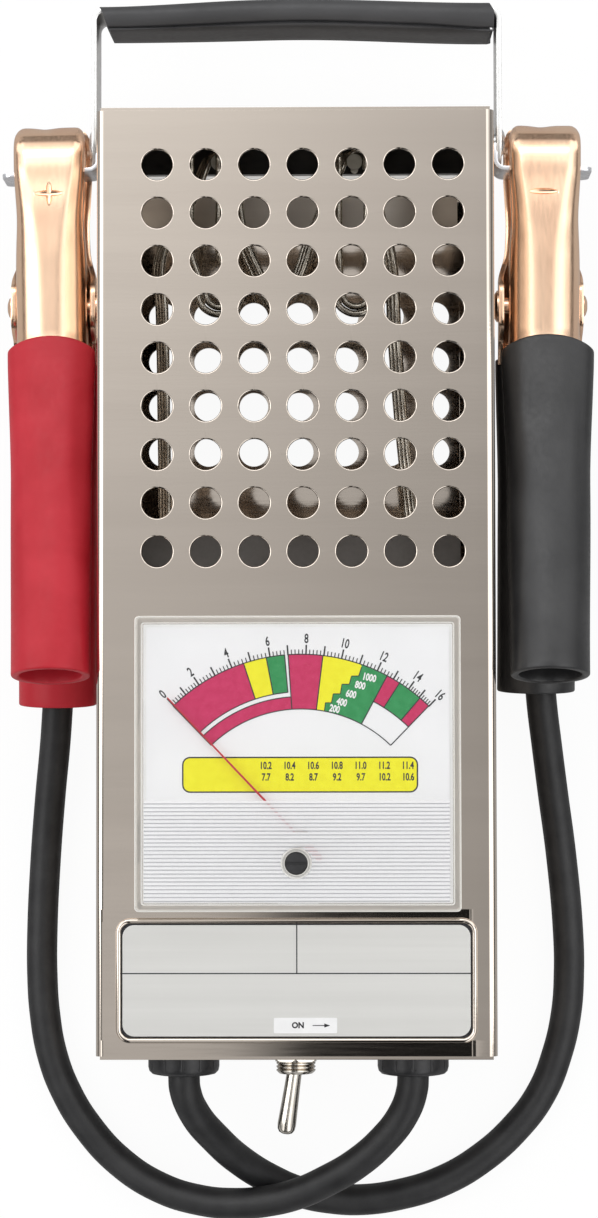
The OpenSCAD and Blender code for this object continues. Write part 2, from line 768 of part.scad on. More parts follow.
module handle_rivets() {
    head = tab_x + tab_t;
    color(steel) for (s = [left, right]) {
        rod_x(rivet_r, s * (half_w - sheet), s * head, pivot_y, mid_z);
        rod_x(2.9, s * (half_w - sheet - 1.2), s * (half_w - sheet), pivot_y, mid_z);
        head_x(s, 3.2, 1.3, s * head, pivot_y, mid_z);
    }
}

module clip_tab(s) {
    bend_x = tab_x + tab_t + tab_bend;
    bend_y = tab_y + tab_t + tab_bend;
    color([0.85, 0.86, 0.88]) mirror([s < 0 ? 1 : 0, 0, 0]) difference() {
        union() {
            block([tab_x, bend_y, mid_z - tab_w / 2], [tab_x + tab_t, pivot_y - 2, mid_z + tab_w / 2]);
            rod_x(4.4, tab_x, tab_x + tab_t, pivot_y, mid_z);
            block([bend_x, tab_y, mid_z - tab_w / 2], [tab_out, tab_y + tab_t, mid_z + tab_w / 2]);
            intersection() {
                translate([bend_x, bend_y, mid_z - tab_w / 2]) linear_extrude(tab_w) difference() {
                    circle(tab_bend + tab_t);
                    circle(tab_bend);
                }
                block([tab_x, tab_y, 0], [bend_x, bend_y, body_d]);
            }
        }
        rod_x(rivet_r, tab_x - 1, tab_x + tab_t + 1, pivot_y, mid_z);
    }
}

module clip_tab_left() { clip_tab(left); }
module clip_tab_right() { clip_tab(right); }

// ---------------------------------------------------------------- clamps

// Side view of a clamp half, with the hinge at the origin and the jaw's tip at +Y
web_z = 13.6;
jaw_web = [[-9, web_z], [12, web_z - 0.2], [24, 13], [34, 12.2], [42, 11.4], [46, 10.6],
           [48.6, 8.8], [jaw_l, 6.4], [jaw_l, 3.6]];
function jaw_edge(grip_z) = [
    [jaw_l - clamp_t, 3.6], [47, 6.4], [44, grip_z], [34, grip_z], [28, 7.6], [20, 5.6],
    [12, 2.6], [8, -1.5], [5, -5], [-5, -5], [-8, -1], [-9, 3]
];
web_inside = [[-12, web_z - clamp_t], [12, web_z - 0.2 - clamp_t], [24, 13 - clamp_t],
              [34, 12.2 - clamp_t], [42, 11.4 - clamp_t], [45.3, 10.4 - clamp_t], [47.4, 7.8],
              [jaw_l - clamp_t, 5.8], [jaw_l - clamp_t, -20], [-12, -20]];

// Front view of a half: half widths along the jaw
function jaw_outline(hinge_half, less) = [
    for (s = [1, -1]) each (s > 0 ? [
        [hinge_half - less, -9.5], [hinge_half - less, 8.5], [9.9 - less, 15], [9.4 - less, 24],
        [10.1 - less, 38], [10.1 - less, 47], [8.4 - less, 50.5]
    ] : [
        [-8.4 + less, 50.5], [-10.1 + less, 47], [-10.1 + less, 38], [-9.4 + less, 24],
        [-9.9 + less, 15], [-hinge_half + less, 8.5], [-hinge_half + less, -9.5]
    ])
];

module side_extrude(points, w) {
    rotate([90, 0, 90]) linear_extrude(w, center = true) polygon(points);
}

module channel_section(w, depth, r) {
    translate([-w / 2, -depth]) square([w, depth - r]);
    translate([-w / 2 + r, -r - 0.01]) square([w - 2 * r, r + 0.01]);
    for (s = [-1, 1]) translate([s * (w / 2 - r), -r]) circle(r);
}

module channel(w, depth, r, from, to) {
    translate([0, -from, 0]) rotate([90, 0, 0]) linear_extrude(to - from) difference() {
        channel_section(w, depth, r);
        translate([0, -clamp_t]) channel_section(w - 2 * clamp_t, depth, r - clamp_t);
    }
}

// One half of a clamp, open towards -Z: the stamped jaw, and the handle inside its sleeve
module clamp_half(hinge_half, tilt, grip_z, handle_l) {
    inside = concat(jaw_outline(hinge_half, clamp_t),
                    [[-hinge_half + clamp_t, -14], [hinge_half - clamp_t, -14]]);
    difference() {
        intersection() {
            side_extrude(concat(jaw_web, jaw_edge(grip_z)), 30);
            translate([0, 0, -30]) linear_extrude(60) polygon(jaw_outline(hinge_half, 0));
        }
        intersection() {
            side_extrude(web_inside, 30);
            translate([0, 0, -30]) linear_extrude(60) polygon(inside);
        }
    }
    translate([0, -8, web_z]) rotate([-tilt, 0, 0]) {
        channel(19, 6, 3.6, 0.5, 11);
        channel(13, 5, 3, 10, handle_l);
    }
}

module at_clamp(s) {
    translate([s * clamp_x, hinge_y, mid_z]) children();
}

function lean_of(s) = s < 0 ? clamp_lean[0] : -clamp_lean[1];

module polarity_mark(s) {
    bar = [8.4, 1.5, 1];
    translate([0, 31, 12.5]) rotate([-5, 0, 0]) {
        cube(bar, center = true);
        if (s < 0) cube([bar[1], bar[0], bar[2]], center = true);
    }
}

module front_jaw(s) {
    color(copper) at_clamp(s) difference() {
        rotate([0, 0, lean_of(s)]) difference() {
            clamp_half(10.1, front_tilt, tab_w / 2 + 0.1, 72);
            polarity_mark(s);
        }
        rod_x(clamp_rivet_r + 0.06, -20, 20, 0, 0);
    }
}

module rear_jaw(s) {
    color(copper) at_clamp(s) difference() {
        mirror([0, 0, 1]) clamp_half(12, rear_tilt, tab_w / 2, 91);
        rod_x(clamp_rivet_r, -20, 20, 0, 0);
    }
}

module clamp_rivet(s) {
    outer = s * 12;
    color(copper) at_clamp(s) {
        rod_x(clamp_rivet_r, -12, 12, 0, 0);
        rod_x(3.2, outer, outer + s * 1.4, 0, 0);
        rod_x(4.5, -outer, -outer - s * 1.2, 0, 0);
    }
}

// Four turns round the rivet, with a leg along each handle
module clamp_spring(s) {
    coil_r = 4.2;
    half_l = 4;
    turns = 1440;
    rear_a = -69;
    coil = [for (a = [rear_a : 22.5 : rear_a + turns + 135])
        [-half_l + 2 * half_l * (a - rear_a) / turns, coil_r * cos(a), coil_r * sin(a)]];
    last = coil[len(coil) - 1];
    color(dark_steel) at_clamp(s)
        tube(concat([coil[0] + [0, -22.4, -8.3], coil[0] + [0, -7.4, -2.9]], coil,
                    [last + [0, -6.6, 2.2], last + [0, -12, 3.4]]), 1.6, 8, [1, 0, 0]);
}

// A disc of width w and height h, with its face at the origin
module sleeve_disc(w, h) {
    rotate([90, 0, 0]) scale([1, h / w, 1]) cylinder(d = w, h = 0.4, $fn = 36);
}

// A sleeve's section goes from a rounded rectangle at the mouth to a round open end
module sleeve_shape(length, less) {
    w = 24.9 - 2 * less;
    h = 13.2 - 2 * less;
    r = 6 - less;
    middle = [sleeve_d + 0.6 - 2 * less, 17.4 - 2 * less];
    hull() {
        for (x = [-1, 1], z = [-1, 1])
            translate([x * (w / 2 - r), 0, z * (h / 2 - r)]) sleeve_disc(2 * r, 2 * r);
        translate([0, -length * 0.45, 0]) sleeve_disc(middle[0], middle[1]);
    }
    hull() {
        translate([0, -length * 0.45, 0]) sleeve_disc(middle[0], middle[1]);
        translate([0, -length + 0.4, 0]) sleeve_disc(sleeve_d - 2 * less, sleeve_d - 2 * less);
    }
}

module sleeve(length) {
    difference() {
        sleeve_shape(length, 0);
        translate([0, 0.3, 0]) sleeve_shape(length + 0.6, sleeve_wall);
    }
}

module front_sleeve(s) {
    color(s < 0 ? red_rubber : black_rubber) at_clamp(s) rotate([0, 0, lean_of(s)])
        translate([0, -sleeve_top, sleeve_mid]) rotate([-front_tilt, 0, 0]) sleeve(front_sleeve_l);
}

module rear_sleeve(s) {
    color(s < 0 ? red_rubber : black_rubber) at_clamp(s)
        translate([0, -sleeve_top, -sleeve_mid]) rotate([rear_tilt, 0, 0]) sleeve(rear_sleeve_l);
}

module clamp_left_front_jaw() { front_jaw(left); }
module clamp_left_rear_jaw() { rear_jaw(left); }
module clamp_left_rivet() { clamp_rivet(left); }
module clamp_left_spring() { clamp_spring(left); }
module clamp_left_front_sleeve() { front_sleeve(left); }
module clamp_left_rear_sleeve() { rear_sleeve(left); }
module clamp_right_front_jaw() { front_jaw(right); }
module clamp_right_rear_jaw() { rear_jaw(right); }
module clamp_right_rivet() { clamp_rivet(right); }
module clamp_right_spring() { clamp_spring(right); }
module clamp_right_front_sleeve() { front_sleeve(right); }
module clamp_right_rear_sleeve() { rear_sleeve(right); }

module lead_to_left_clamp() {
    color(black_rubber) tube(left_route, lead_d, 12);
}

module lead_to_right_clamp() {
    color(black_rubber) tube(right_route, lead_d, 12);
}

front_cover();
rear_cover();
cover_screws();
label_plate();
heat_shield();
load_board();
board_rail();
wire_hangers();
load_wires();
hairpin_wires_left();
hairpin_wires_right();
terminal_block();
terminal_left();
terminal_right();
terminal_screws();
gland_left();
gland_right();
gland_nuts();
inner_lead_left();
inner_lead_right();
jumper_lead();
meter_wires();
toggle_body();
toggle_bushing();
toggle_nut();
toggle_lever();
contact_bridge();
switch_studs();
meter_cover();
meter_case();
dial_plate();
magnet_ring();
core_post();
moving_coil();
pointer();
pointer_bridge();
hairspring();
zero_screw();
meter_studs();
handle_strap();
handle_grip();
handle_rivets();
clip_tab_left();
clip_tab_right();
clamp_left_front_jaw();
clamp_left_rear_jaw();
clamp_left_rivet();
clamp_left_spring();
clamp_left_front_sleeve();
clamp_left_rear_sleeve();
clamp_right_front_jaw();
clamp_right_rear_jaw();
clamp_right_rivet();
clamp_right_spring();
clamp_right_front_sleeve();
clamp_right_rear_sleeve();
lead_to_left_clamp();
lead_to_right_clamp();
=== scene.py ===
# %% [markdown]
# # A battery load tester
# This lesson dresses a hand-held battery load tester: a folded steel box with a needle meter,
# a toggle switch, a carrying handle and two copper-plated clamps on rubber leads.
# The solid model comes first. Its pieces already have their real size and place, so every
# shape made here is built in the same frame, in metres, and goes where the solid says.
# The tester lies on its back: X runs to the right of the dial, Y towards the handle and
# Z out of the dial.

# %% Load the solid model
import math

import bmesh
import bpy
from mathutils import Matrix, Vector


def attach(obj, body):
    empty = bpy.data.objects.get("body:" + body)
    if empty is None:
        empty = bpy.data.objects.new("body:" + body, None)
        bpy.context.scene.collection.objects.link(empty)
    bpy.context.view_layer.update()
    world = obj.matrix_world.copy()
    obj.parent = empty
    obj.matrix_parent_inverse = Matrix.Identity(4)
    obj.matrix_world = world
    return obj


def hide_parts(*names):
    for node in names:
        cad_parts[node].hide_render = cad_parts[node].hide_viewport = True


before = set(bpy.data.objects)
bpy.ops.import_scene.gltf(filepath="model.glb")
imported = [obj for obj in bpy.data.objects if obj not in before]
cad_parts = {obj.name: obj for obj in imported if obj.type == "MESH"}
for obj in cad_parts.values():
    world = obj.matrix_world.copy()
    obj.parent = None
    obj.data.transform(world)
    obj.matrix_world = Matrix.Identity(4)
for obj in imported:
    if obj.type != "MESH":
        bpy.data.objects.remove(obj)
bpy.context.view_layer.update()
MM = 0.001

# %% [markdown]
# ## The camera
# The view is almost straight down, from just under a metre. A long lens keeps the box square,
# as a product picture does. The sensor's 36 mm lie along the longer side of the picture.

# %% Camera
camera = bpy.data.objects.new("camera", bpy.data.cameras.new("camera"))
camera.data.lens = 96.15
camera.data.sensor_width = 36
camera.location = (0.0140, -0.04734, 0.96085)
camera.rotation_euler = [math.radians(angle) for angle in (2.507, 0.847, -0.0965)]
bpy.context.scene.collection.objects.link(camera)
bpy.context.scene.camera = camera
bpy.context.scene.view_settings.view_transform = "Standard"
print("camera height in metres:", round(camera.location.z, 3))

# %% [markdown]
# ## Helpers for modelling
# Blender's operators act on whatever is selected, so each step starts by making one piece the
# only selected one. A single corner could also be moved by its number, but numbers change
# with every edit. `pick` therefore opens a piece in edit mode with just the parts that pass a
# test of their place or direction selected.

# %% Selecting
def only(piece):
    """Leave edit mode and select this piece alone."""
    if bpy.context.object and bpy.context.object.mode == "EDIT":
        bpy.ops.object.mode_set(mode="OBJECT")
    bpy.ops.object.select_all(action="DESELECT")
    piece.select_set(True)
    bpy.context.view_layer.objects.active = piece
    return piece


def pick(piece, kind, test):
    """Enter edit mode with the corners, edges or faces that pass the test selected."""
    only(piece)
    bpy.ops.object.mode_set(mode="EDIT")
    bpy.ops.mesh.select_mode(type=kind)
    bpy.ops.mesh.select_all(action="DESELECT")
    mesh = bmesh.from_edit_mesh(piece.data)
    parts = {"VERT": mesh.verts, "EDGE": mesh.edges, "FACE": mesh.faces}[kind]
    for part in [part for part in parts if test(part)]:
        part.select_set(True)
    mesh.select_flush_mode()
    bmesh.update_edit_mesh(piece.data)


# %% [markdown]
# A modifier could stay live on a piece. Here it is applied at once, so that the next step finds
# the real edges. A piece's place is applied as well: every finished piece then has its place in
# its mesh, as the solid's nodes do.

# %% Applying and joining
def modified(piece, kind, **settings):
    """Add one modifier with these settings and apply it."""
    only(piece)
    modifier = piece.modifiers.new(kind.lower(), kind)
    for name, value in settings.items():
        setattr(modifier, name, value)
    bpy.ops.object.modifier_apply(modifier=modifier.name)
    return piece


def applied(piece):
    """Move the piece's place, turn and scale into its mesh."""
    only(piece)
    bpy.ops.object.transform_apply(location=True, rotation=True, scale=True)
    return piece


def named(name):
    """Name the primitive that was just added."""
    piece = bpy.context.active_object
    piece.name = name
    piece.data.name = name
    return applied(piece)


def joined(pieces, name):
    """Make one piece of several."""
    only(pieces[0])
    for piece in pieces:
        piece.select_set(True)
    bpy.ops.object.join()
    pieces[0].name = name
    return pieces[0]


MERGE = 0.001 * MM


def outward(piece):
    """Merge doubled corners and turn every face outwards."""
    pick(piece, "VERT", lambda vert: True)
    bpy.ops.mesh.remove_doubles(threshold=MERGE)
    bpy.ops.mesh.normals_make_consistent(inside=False)
    return only(piece)


print("corners closer than this are merged, in mm:", MERGE / MM)

# %% [markdown]
# The last step is the same for every piece. It is smoothed, so that round walls look round while
# edges sharper than an angle stay crisp. Then it gets its finish, hangs on the body that it
# moves with, and takes over from the solid's own node.

# %% Finishing a piece
def finished(piece, material, body, replaced=(), angle=35, weighted=False):
    """The piece with its smoothing, finish and body, in place of the replaced nodes."""
    applied(piece)
    if angle:
        bpy.ops.object.shade_smooth_by_angle(angle=math.radians(angle))
    if weighted:
        modified(piece, "WEIGHTED_NORMAL", keep_sharp=True)
    piece.data.materials.clear()
    piece.data.materials.append(material)
    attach(piece, body)
    if replaced:
        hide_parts(*replaced)
    print(piece.name, "faces:", len(piece.data.polygons))
    return piece


# %% [markdown]
# Many shapes start as a box, a disc or a rounded plate. These helpers add the primitive at its
# size and place, given in millimetres, because drawings of sheet metal are in millimetres.

# %% Primitives in millimetres
def box(name, low, high):
    low, high = Vector(low) * MM, Vector(high) * MM
    bpy.ops.mesh.primitive_cube_add(size=1, location=(low + high) / 2, scale=high - low)
    return named(name)


def rod(name, radius, start, end, sides=32):
    start, end = Vector(start) * MM, Vector(end) * MM
    turn = (end - start).to_track_quat("Z", "Y").to_euler()
    bpy.ops.mesh.primitive_cylinder_add(vertices=sides, radius=radius * MM,
                                        depth=(end - start).length,
                                        location=(start + end) / 2, rotation=turn)
    return named(name)


def rounded_plate(name, low, high, corner, segments=6):
    """A box whose upright edges are rounded."""
    plate = box(name, low, high)
    pick(plate, "EDGE", lambda e: abs(e.verts[0].co.z - e.verts[1].co.z) > 0.01 * MM)
    bpy.ops.mesh.bevel(offset=corner * MM, segments=segments)
    return only(plate)


print("a millimetre in metres:", MM)

# %% [markdown]
# ## Finishes
# Every finish varies a little. One group of nodes, `grain`, turns a point on the piece into a
# soft mask and a fine height. A material stretches it along the brushing on steel, keeps it
# round on rubber, and feeds it to colour, roughness and bump. The noise could be set up anew
# in each material, but a group is built once and behaves alike in all of them.

# %% The grain group
def make_grain_group():
    group = bpy.data.node_groups.new("grain", "ShaderNodeTree")
    for name, kind in (("Vector", "NodeSocketVector"), ("Stretch", "NodeSocketVector"),
                       ("Scale", "NodeSocketFloat"), ("Fine Scale", "NodeSocketFloat")):
        group.interface.new_socket(name, in_out="INPUT", socket_type=kind)
    for name in ("Mask", "Height"):
        group.interface.new_socket(name, in_out="OUTPUT", socket_type="NodeSocketFloat")
    nodes, links = group.nodes, group.links
    entry, leave = nodes.new("NodeGroupInput"), nodes.new("NodeGroupOutput")
    stretch = nodes.new("ShaderNodeVectorMath")
    stretch.operation = "MULTIPLY"
    links.new(entry.outputs["Vector"], stretch.inputs[0])
    links.new(entry.outputs["Stretch"], stretch.inputs[1])
    for scale, output, detail in (("Scale", "Mask", 3), ("Fine Scale", "Height", 4)):
        noise = nodes.new("ShaderNodeTexNoise")
        noise.inputs["Detail"].default_value = detail
        links.new(stretch.outputs[0], noise.inputs["Vector"])
        links.new(entry.outputs[scale], noise.inputs["Scale"])
        links.new(noise.outputs["Fac"], leave.inputs[output])
    return group


grain_group = make_grain_group()
print("grain group nodes:", len(grain_group.nodes))

# %% [markdown]
# A node tree is a chain of small steps, and the same few come back in every material: place the
# grain, map one range of values on to another, and combine values. Each becomes a helper that
# takes a socket and gives the next one, so that a material reads like a formula.

# %% Helpers for node trees
def blank_material(name):
    material = bpy.data.materials.new(name)
    material.use_nodes = True
    return material, material.node_tree, material.node_tree.nodes["Principled BSDF"]


def grained(tree, stretch, scale, fine_scale):
    """The outputs of the grain group at a point on the piece."""
    place, grain = tree.nodes.new("ShaderNodeTexCoord"), tree.nodes.new("ShaderNodeGroup")
    grain.node_tree = grain_group
    for socket, value in (("Stretch", stretch), ("Scale", scale), ("Fine Scale", fine_scale)):
        grain.inputs[socket].default_value = value
    tree.links.new(place.outputs["Object"], grain.inputs["Vector"])
    return grain.outputs


def remapped(tree, source, low, high, out_low, out_high, kind="LINEAR"):
    """A value that runs from out_low to out_high while the source runs from low to high."""
    node = tree.nodes.new("ShaderNodeMapRange")
    node.interpolation_type = kind
    for name, value in (("From Min", low), ("From Max", high),
                        ("To Min", out_low), ("To Max", out_high)):
        node.inputs[name].default_value = value
    tree.links.new(source, node.inputs["Value"])
    return node.outputs["Result"]


def calculated(tree, operation, *sources):
    """The product (MULTIPLY) or the largest (MAXIMUM) of several sockets or numbers."""
    value = sources[0]
    for source in sources[1:]:
        node = tree.nodes.new("ShaderNodeMath")
        node.operation = operation
        tree.links.new(value, node.inputs[0])
        if isinstance(source, float):
            node.inputs[1].default_value = source
        else:
            tree.links.new(source, node.inputs[1])
        value = node.outputs[0]
    return value


print("sockets of the grain group:", [item.name for item in grain_group.interface.items_tree])

# %% [markdown]
# Steel, rubber and paint differ in their numbers, not in how they are built, so one function
# makes them all. The mask runs the colour between two close tones, and the fine height spreads
# the roughness and lifts the surface by less than a tenth of a millimetre.

# %% One function for every solid finish
RELIEF = 0.1 * MM


def finish(name, dark, light, roughness, metallic=0.0, stretch=(1, 1, 1), scale=60,
           fine_scale=900, bump=0.1, coat=0.0, shader_values=()):
    """A finish whose colour runs from dark to light and whose roughness is a (low, high) pair."""
    material, tree, shader = blank_material(name)
    for socket, value in (("Metallic", metallic), ("Coat Weight", coat), *shader_values):
        shader.inputs[socket].default_value = value
    grain = grained(tree, stretch, scale, fine_scale)
    ramp = tree.nodes.new("ShaderNodeValToRGB")
    for element, position, colour in zip(ramp.color_ramp.elements, (0.35, 0.65), (dark, light)):
        element.position = position
        element.color = (*colour, 1)
    tree.links.new(grain["Mask"], ramp.inputs["Fac"])
    tree.links.new(ramp.outputs["Color"], shader.inputs["Base Color"])
    tree.links.new(remapped(tree, grain["Height"], 0.3, 0.7, *roughness),
                   shader.inputs["Roughness"])
    relief = tree.nodes.new("ShaderNodeBump")
    relief.inputs["Strength"].default_value = bump
    relief.inputs["Distance"].default_value = RELIEF
    tree.links.new(grain["Height"], relief.inputs["Height"])
    tree.links.new(relief.outputs["Normal"], shader.inputs["Normal"])
    return material


print("depth of the finest relief in mm:", RELIEF / MM)

# %% [markdown]
# The metals: satin nickel on the box, bright copper on the clamps, zinc on small hardware. A
# metal could be made by its colour alone, but it is its roughness that tells one plating from
# another, so each has a range of its own. The brushing on the box runs across it, so its grain
# is drawn out along X.

# %% Metal finishes
nickel_sheet = finish("nickel_sheet", (0.60, 0.533, 0.468), (0.635, 0.565, 0.497), (0.05, 0.09),
                      metallic=1, stretch=(0.05, 1, 1), scale=90, fine_scale=1500, bump=0.03)
inner_steel = finish("inner_steel", (0.20, 0.18, 0.165), (0.26, 0.24, 0.22), (0.5, 0.65),
                     metallic=0.6, scale=40, bump=0.1)
bright_nickel = finish("bright_nickel", (0.60, 0.56, 0.50), (0.72, 0.68, 0.62), (0.12, 0.22),
                       metallic=1, scale=200, fine_scale=2500, bump=0.05)
zinc = finish("zinc", (0.60, 0.61, 0.62), (0.78, 0.79, 0.80), (0.25, 0.4),
              metallic=0.9, scale=120, fine_scale=1200, bump=0.08)
copper_plate = finish("copper_plate", (0.88, 0.58, 0.40), (0.93, 0.65, 0.46), (0.2, 0.27),
                      metallic=1, stretch=(1, 0.15, 1), scale=110, fine_scale=1600, bump=0.04)
brass = finish("brass", (0.55, 0.40, 0.16), (0.70, 0.52, 0.24), (0.25, 0.4), metallic=1, bump=0.05)
copper_wire = finish("copper_wire", (0.55, 0.22, 0.10), (0.70, 0.32, 0.16), (0.3, 0.4),
                     metallic=0.8, scale=400, bump=0.1)
hot_wire = finish("hot_wire", (0.34, 0.31, 0.26), (0.66, 0.61, 0.53), (0.16, 0.28),
                  metallic=1, stretch=(1, 0.2, 1), scale=300, fine_scale=2200, bump=0.15)
spring_steel = finish("spring_steel", (0.12, 0.12, 0.13), (0.22, 0.22, 0.23), (0.3, 0.45),
                      metallic=0.9, scale=300, bump=0.08)
magnet_iron = finish("magnet_iron", (0.05, 0.05, 0.055), (0.10, 0.10, 0.11), (0.5, 0.7),
                     metallic=0.4, scale=500, bump=0.3)
print("metals made:", len(bpy.data.materials))

# %% [markdown]
# The plastics and rubbers: satin sleeves with a soft bloom, matt leads, a dark grey grip, and
# the moulded parts of the switch and the meter. They come from the same function, with no
# metal in them. A thin rough coat on the sleeves gives them the bloom of handled rubber.

# %% Rubber and plastic finishes
red_sleeve = finish("red_sleeve", (0.47, 0.012, 0.024), (0.55, 0.022, 0.038), (0.38, 0.5),
                    scale=70, fine_scale=700, bump=0.08, coat=0.05,
                    shader_values=(("Coat Roughness", 0.3), ("Specular IOR Level", 0.3)))
black_sleeve = finish("black_sleeve", (0.014, 0.014, 0.015), (0.026, 0.026, 0.027), (0.36, 0.48),
                      scale=70, fine_scale=700, bump=0.08, coat=0.12,
                      shader_values=(("Coat Roughness", 0.3), ("Specular IOR Level", 0.4)))
lead_rubber = finish("lead_rubber", (0.011, 0.011, 0.012), (0.021, 0.021, 0.022), (0.42, 0.55),
                     scale=140, fine_scale=1600, bump=0.12,
                     shader_values=(("Specular IOR Level", 0.4),))
grip_rubber = finish("grip_rubber", (0.040, 0.040, 0.042), (0.058, 0.058, 0.061), (0.5, 0.62),
                     stretch=(0.3, 1, 1), scale=120, fine_scale=2000, bump=0.1)
gland_rubber = finish("gland_rubber", (0.010, 0.010, 0.011), (0.022, 0.022, 0.024), (0.3, 0.45),
                      scale=160, fine_scale=900, bump=0.15)
phenolic = finish("phenolic", (0.010, 0.009, 0.008), (0.028, 0.025, 0.022), (0.35, 0.55),
                  stretch=(0.3, 1, 1), scale=200, bump=0.1)
ceramic = finish("ceramic", (0.62, 0.58, 0.48), (0.74, 0.70, 0.60), (0.5, 0.7),
                 scale=400, bump=0.3)
meter_white = finish("meter_white", (0.84, 0.84, 0.83), (0.90, 0.90, 0.89), (0.35, 0.45),
                     scale=80, bump=0.03)
wire_red = finish("wire_red", (0.42, 0.02, 0.02), (0.55, 0.04, 0.03), (0.35, 0.5), scale=200)
print("finishes made:", len(bpy.data.materials))

# %% [markdown]
# ## The leads
# Leads and wires are round all along their length. They could be a tube extruded step by step,
# but a curve with a thickness needs only the points that it runs through, and its bends stay
# smooth. The two last numbers say how finely it is divided along its length and round it.

# %% A round tube along a smooth curve
def smooth_tube(name, points, diameter, along, around):
    curve = bpy.data.curves.new(name, "CURVE")
    curve.dimensions = "3D"
    curve.resolution_u = along
    curve.bevel_depth = diameter / 2 * MM
    curve.bevel_resolution = around
    curve.use_fill_caps = True
    spline = curve.splines.new("BEZIER")
    spline.bezier_points.add(len(points) - 1)
    for knot, point in zip(spline.bezier_points, points):
        knot.co = Vector(point) * MM
        knot.handle_left_type = knot.handle_right_type = "AUTO"
    tube = bpy.data.objects.new(name, curve)
    bpy.context.scene.collection.objects.link(tube)
    return tube


print("curves so far:", len(bpy.data.curves))

# %% [markdown]
# Each lead is one length of 9 mm rubber cable, seen from end to end: straight out of its gland,
# down on to the bench in a wide bend, across the other lead and up into the rear sleeve of its
# clamp. A lead could be dropped in a simulation, but its route is known, so the curve runs
# through the points of the solid's own lead.

# %% Two rubber leads
LEAD_D = 9
left_route = [
    (32.5, -138.7, 34), (32.2, -143, 34), (29.8, -149.9, 32.6), (23.8, -158, 30),
    (16, -165, 27), (8, -170, 23.8), (0, -174, 20.5), (-9, -176.65, 17.3), (-18, -177.85, 14.2),
    (-29, -177.35, 10.8), (-41, -174, 7.8), (-52.5, -167, 5.6), (-62, -157, 4.7),
    (-68.5, -146.5, 4.6), (-72.5, -136, 4.6), (-74.7, -124, 4.6), (-75.5, -112, 4.6),
    (-75.5, -100, 4.6), (-74.6, -80, 5), (-73, -60, 6.8), (-71.4, -45, 9.3),
    (-70.5, -34, 11.3), (-70, -27, 12.5), (-69.8, -20, 13.6),
]
right_route = [
    (-32.5, -138.7, 34), (-32.2, -143, 33.8), (-29.8, -149.9, 30),
    (-23.8, -158.4, 22.2), (-16.5, -166, 14), (-8.5, -171.5, 9.4), (0, -175.5, 6.8),
    (9, -177.5, 5.4), (18, -178, 4.7), (29, -176.5, 4.6), (41, -172.8, 4.6),
    (52.5, -166.3, 4.6), (63.5, -156.5, 4.6), (70.5, -147, 4.6), (75, -136, 4.6),
    (77.8, -124, 4.6), (78.7, -112, 4.6), (78.5, -100, 4.6), (76.6, -78, 5),
    (74.2, -60, 6.8), (72.2, -45, 9.3), (70.8, -34, 11.3), (70.2, -27, 12.5),
    (69.8, -18, 13.8),
]


def make_lead(name, route, node):
    lead = smooth_tube(name, route, LEAD_D, 8, 6)
    lead.data.materials.append(lead_rubber)
    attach(lead, "housing")
    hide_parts(node)


make_lead("left_clamp_lead", left_route, "lead_to_left_clamp")
make_lead("right_clamp_lead", right_route, "lead_to_right_clamp")

# %% [markdown]
# ## Light, floor and background
# Rays can be asked where they come from. The camera's rays may see a white background while the
# light that falls on the tester stays plain, so nothing is bleached to get a pale picture.
# Rays that metal sends out, and rays that pass through clear plastic, count as seeing too, or
# a white room would look grey in them.

# %% Rays that see the background
def seen_directly(tree, in_metal=1.0):
    """1 for rays from the camera and through glass, in_metal for reflections, otherwise 0."""
    path = tree.nodes.new("ShaderNodeLightPath")
    reflected = calculated(tree, "MULTIPLY", path.outputs["Is Glossy Ray"], in_metal)
    return calculated(tree, "MAXIMUM", path.outputs["Is Camera Ray"], reflected,
                      path.outputs["Is Transmission Ray"])


print("rays that see the background: camera, glossy, transmission")

# %% [markdown]
# The studio is the world itself. It lights the tester evenly and is plain white to the camera.
# Flat metal mirrors the room above it, and an even room would make it look like grey card. So
# reflections see a room with a ceiling that falls off, two dark cards and three bright panels,
# which could also be real planes, but the world needs none that might stand in the way.
# Every value below is a fade across the room, by the direction that a ray goes.

# %% World
world = bpy.data.worlds.new("studio")
bpy.context.scene.world = world
world.use_nodes = True
tree = world.node_tree
direction, split = tree.nodes.new("ShaderNodeTexCoord"), tree.nodes.new("ShaderNodeSeparateXYZ")
tree.links.new(direction.outputs["Generated"], split.inputs[0])
x, y, z = (split.outputs[axis] for axis in "XYZ")


def span(*fade):
    return remapped(world.node_tree, *fade, kind="SMOOTHSTEP")


def product(*sources):
    return calculated(world.node_tree, "MULTIPLY", *sources)


def larger(*sources):
    return calculated(world.node_tree, "MAXIMUM", *sources)


ceiling = product(span(y, 0.03, 0.21, 0.60, 0.93), span(x, -0.09, 0.06, 1.17, 0.80),
                  span(z, 0.05, 0.5, 0.12, 1.0))
card = larger(span(x, -0.040, -0.010, 1.0, 0.0), span(y, -0.135, -0.105, 0.03, 1.0))
left_card = larger(span(x, -0.125, -0.095, 0.04, 1.0), span(y, -0.02, 0.05, 0.0, 1.0),
                   span(x, -0.55, -0.4, 1.0, 0.0))
low = span(z, 0.12, 0.4, 0.0, 1.0)
boxes = larger(product(span(y, 0.36, 0.46, 0.0, 1.9), span(y, 0.72, 0.84, 1.0, 0.06)),
               product(span(x, 0.10, 0.26, 0.0, 1.85), span(x, 0.55, 0.85, 1.0, 0.35), low),
               product(span(x, -0.30, -0.12, 1.85, 0.0), span(x, -0.85, -0.55, 0.35, 1.0), low))
level = product(larger(product(ceiling, card), boxes), left_card)
print("nodes that shape the room:", len(world.node_tree.nodes))

# %% [markdown]
# The camera gets plain white, reflections get the room, and the light on the tester stays at one
# plain level of its own. A mix by the kind of ray keeps the three apart.

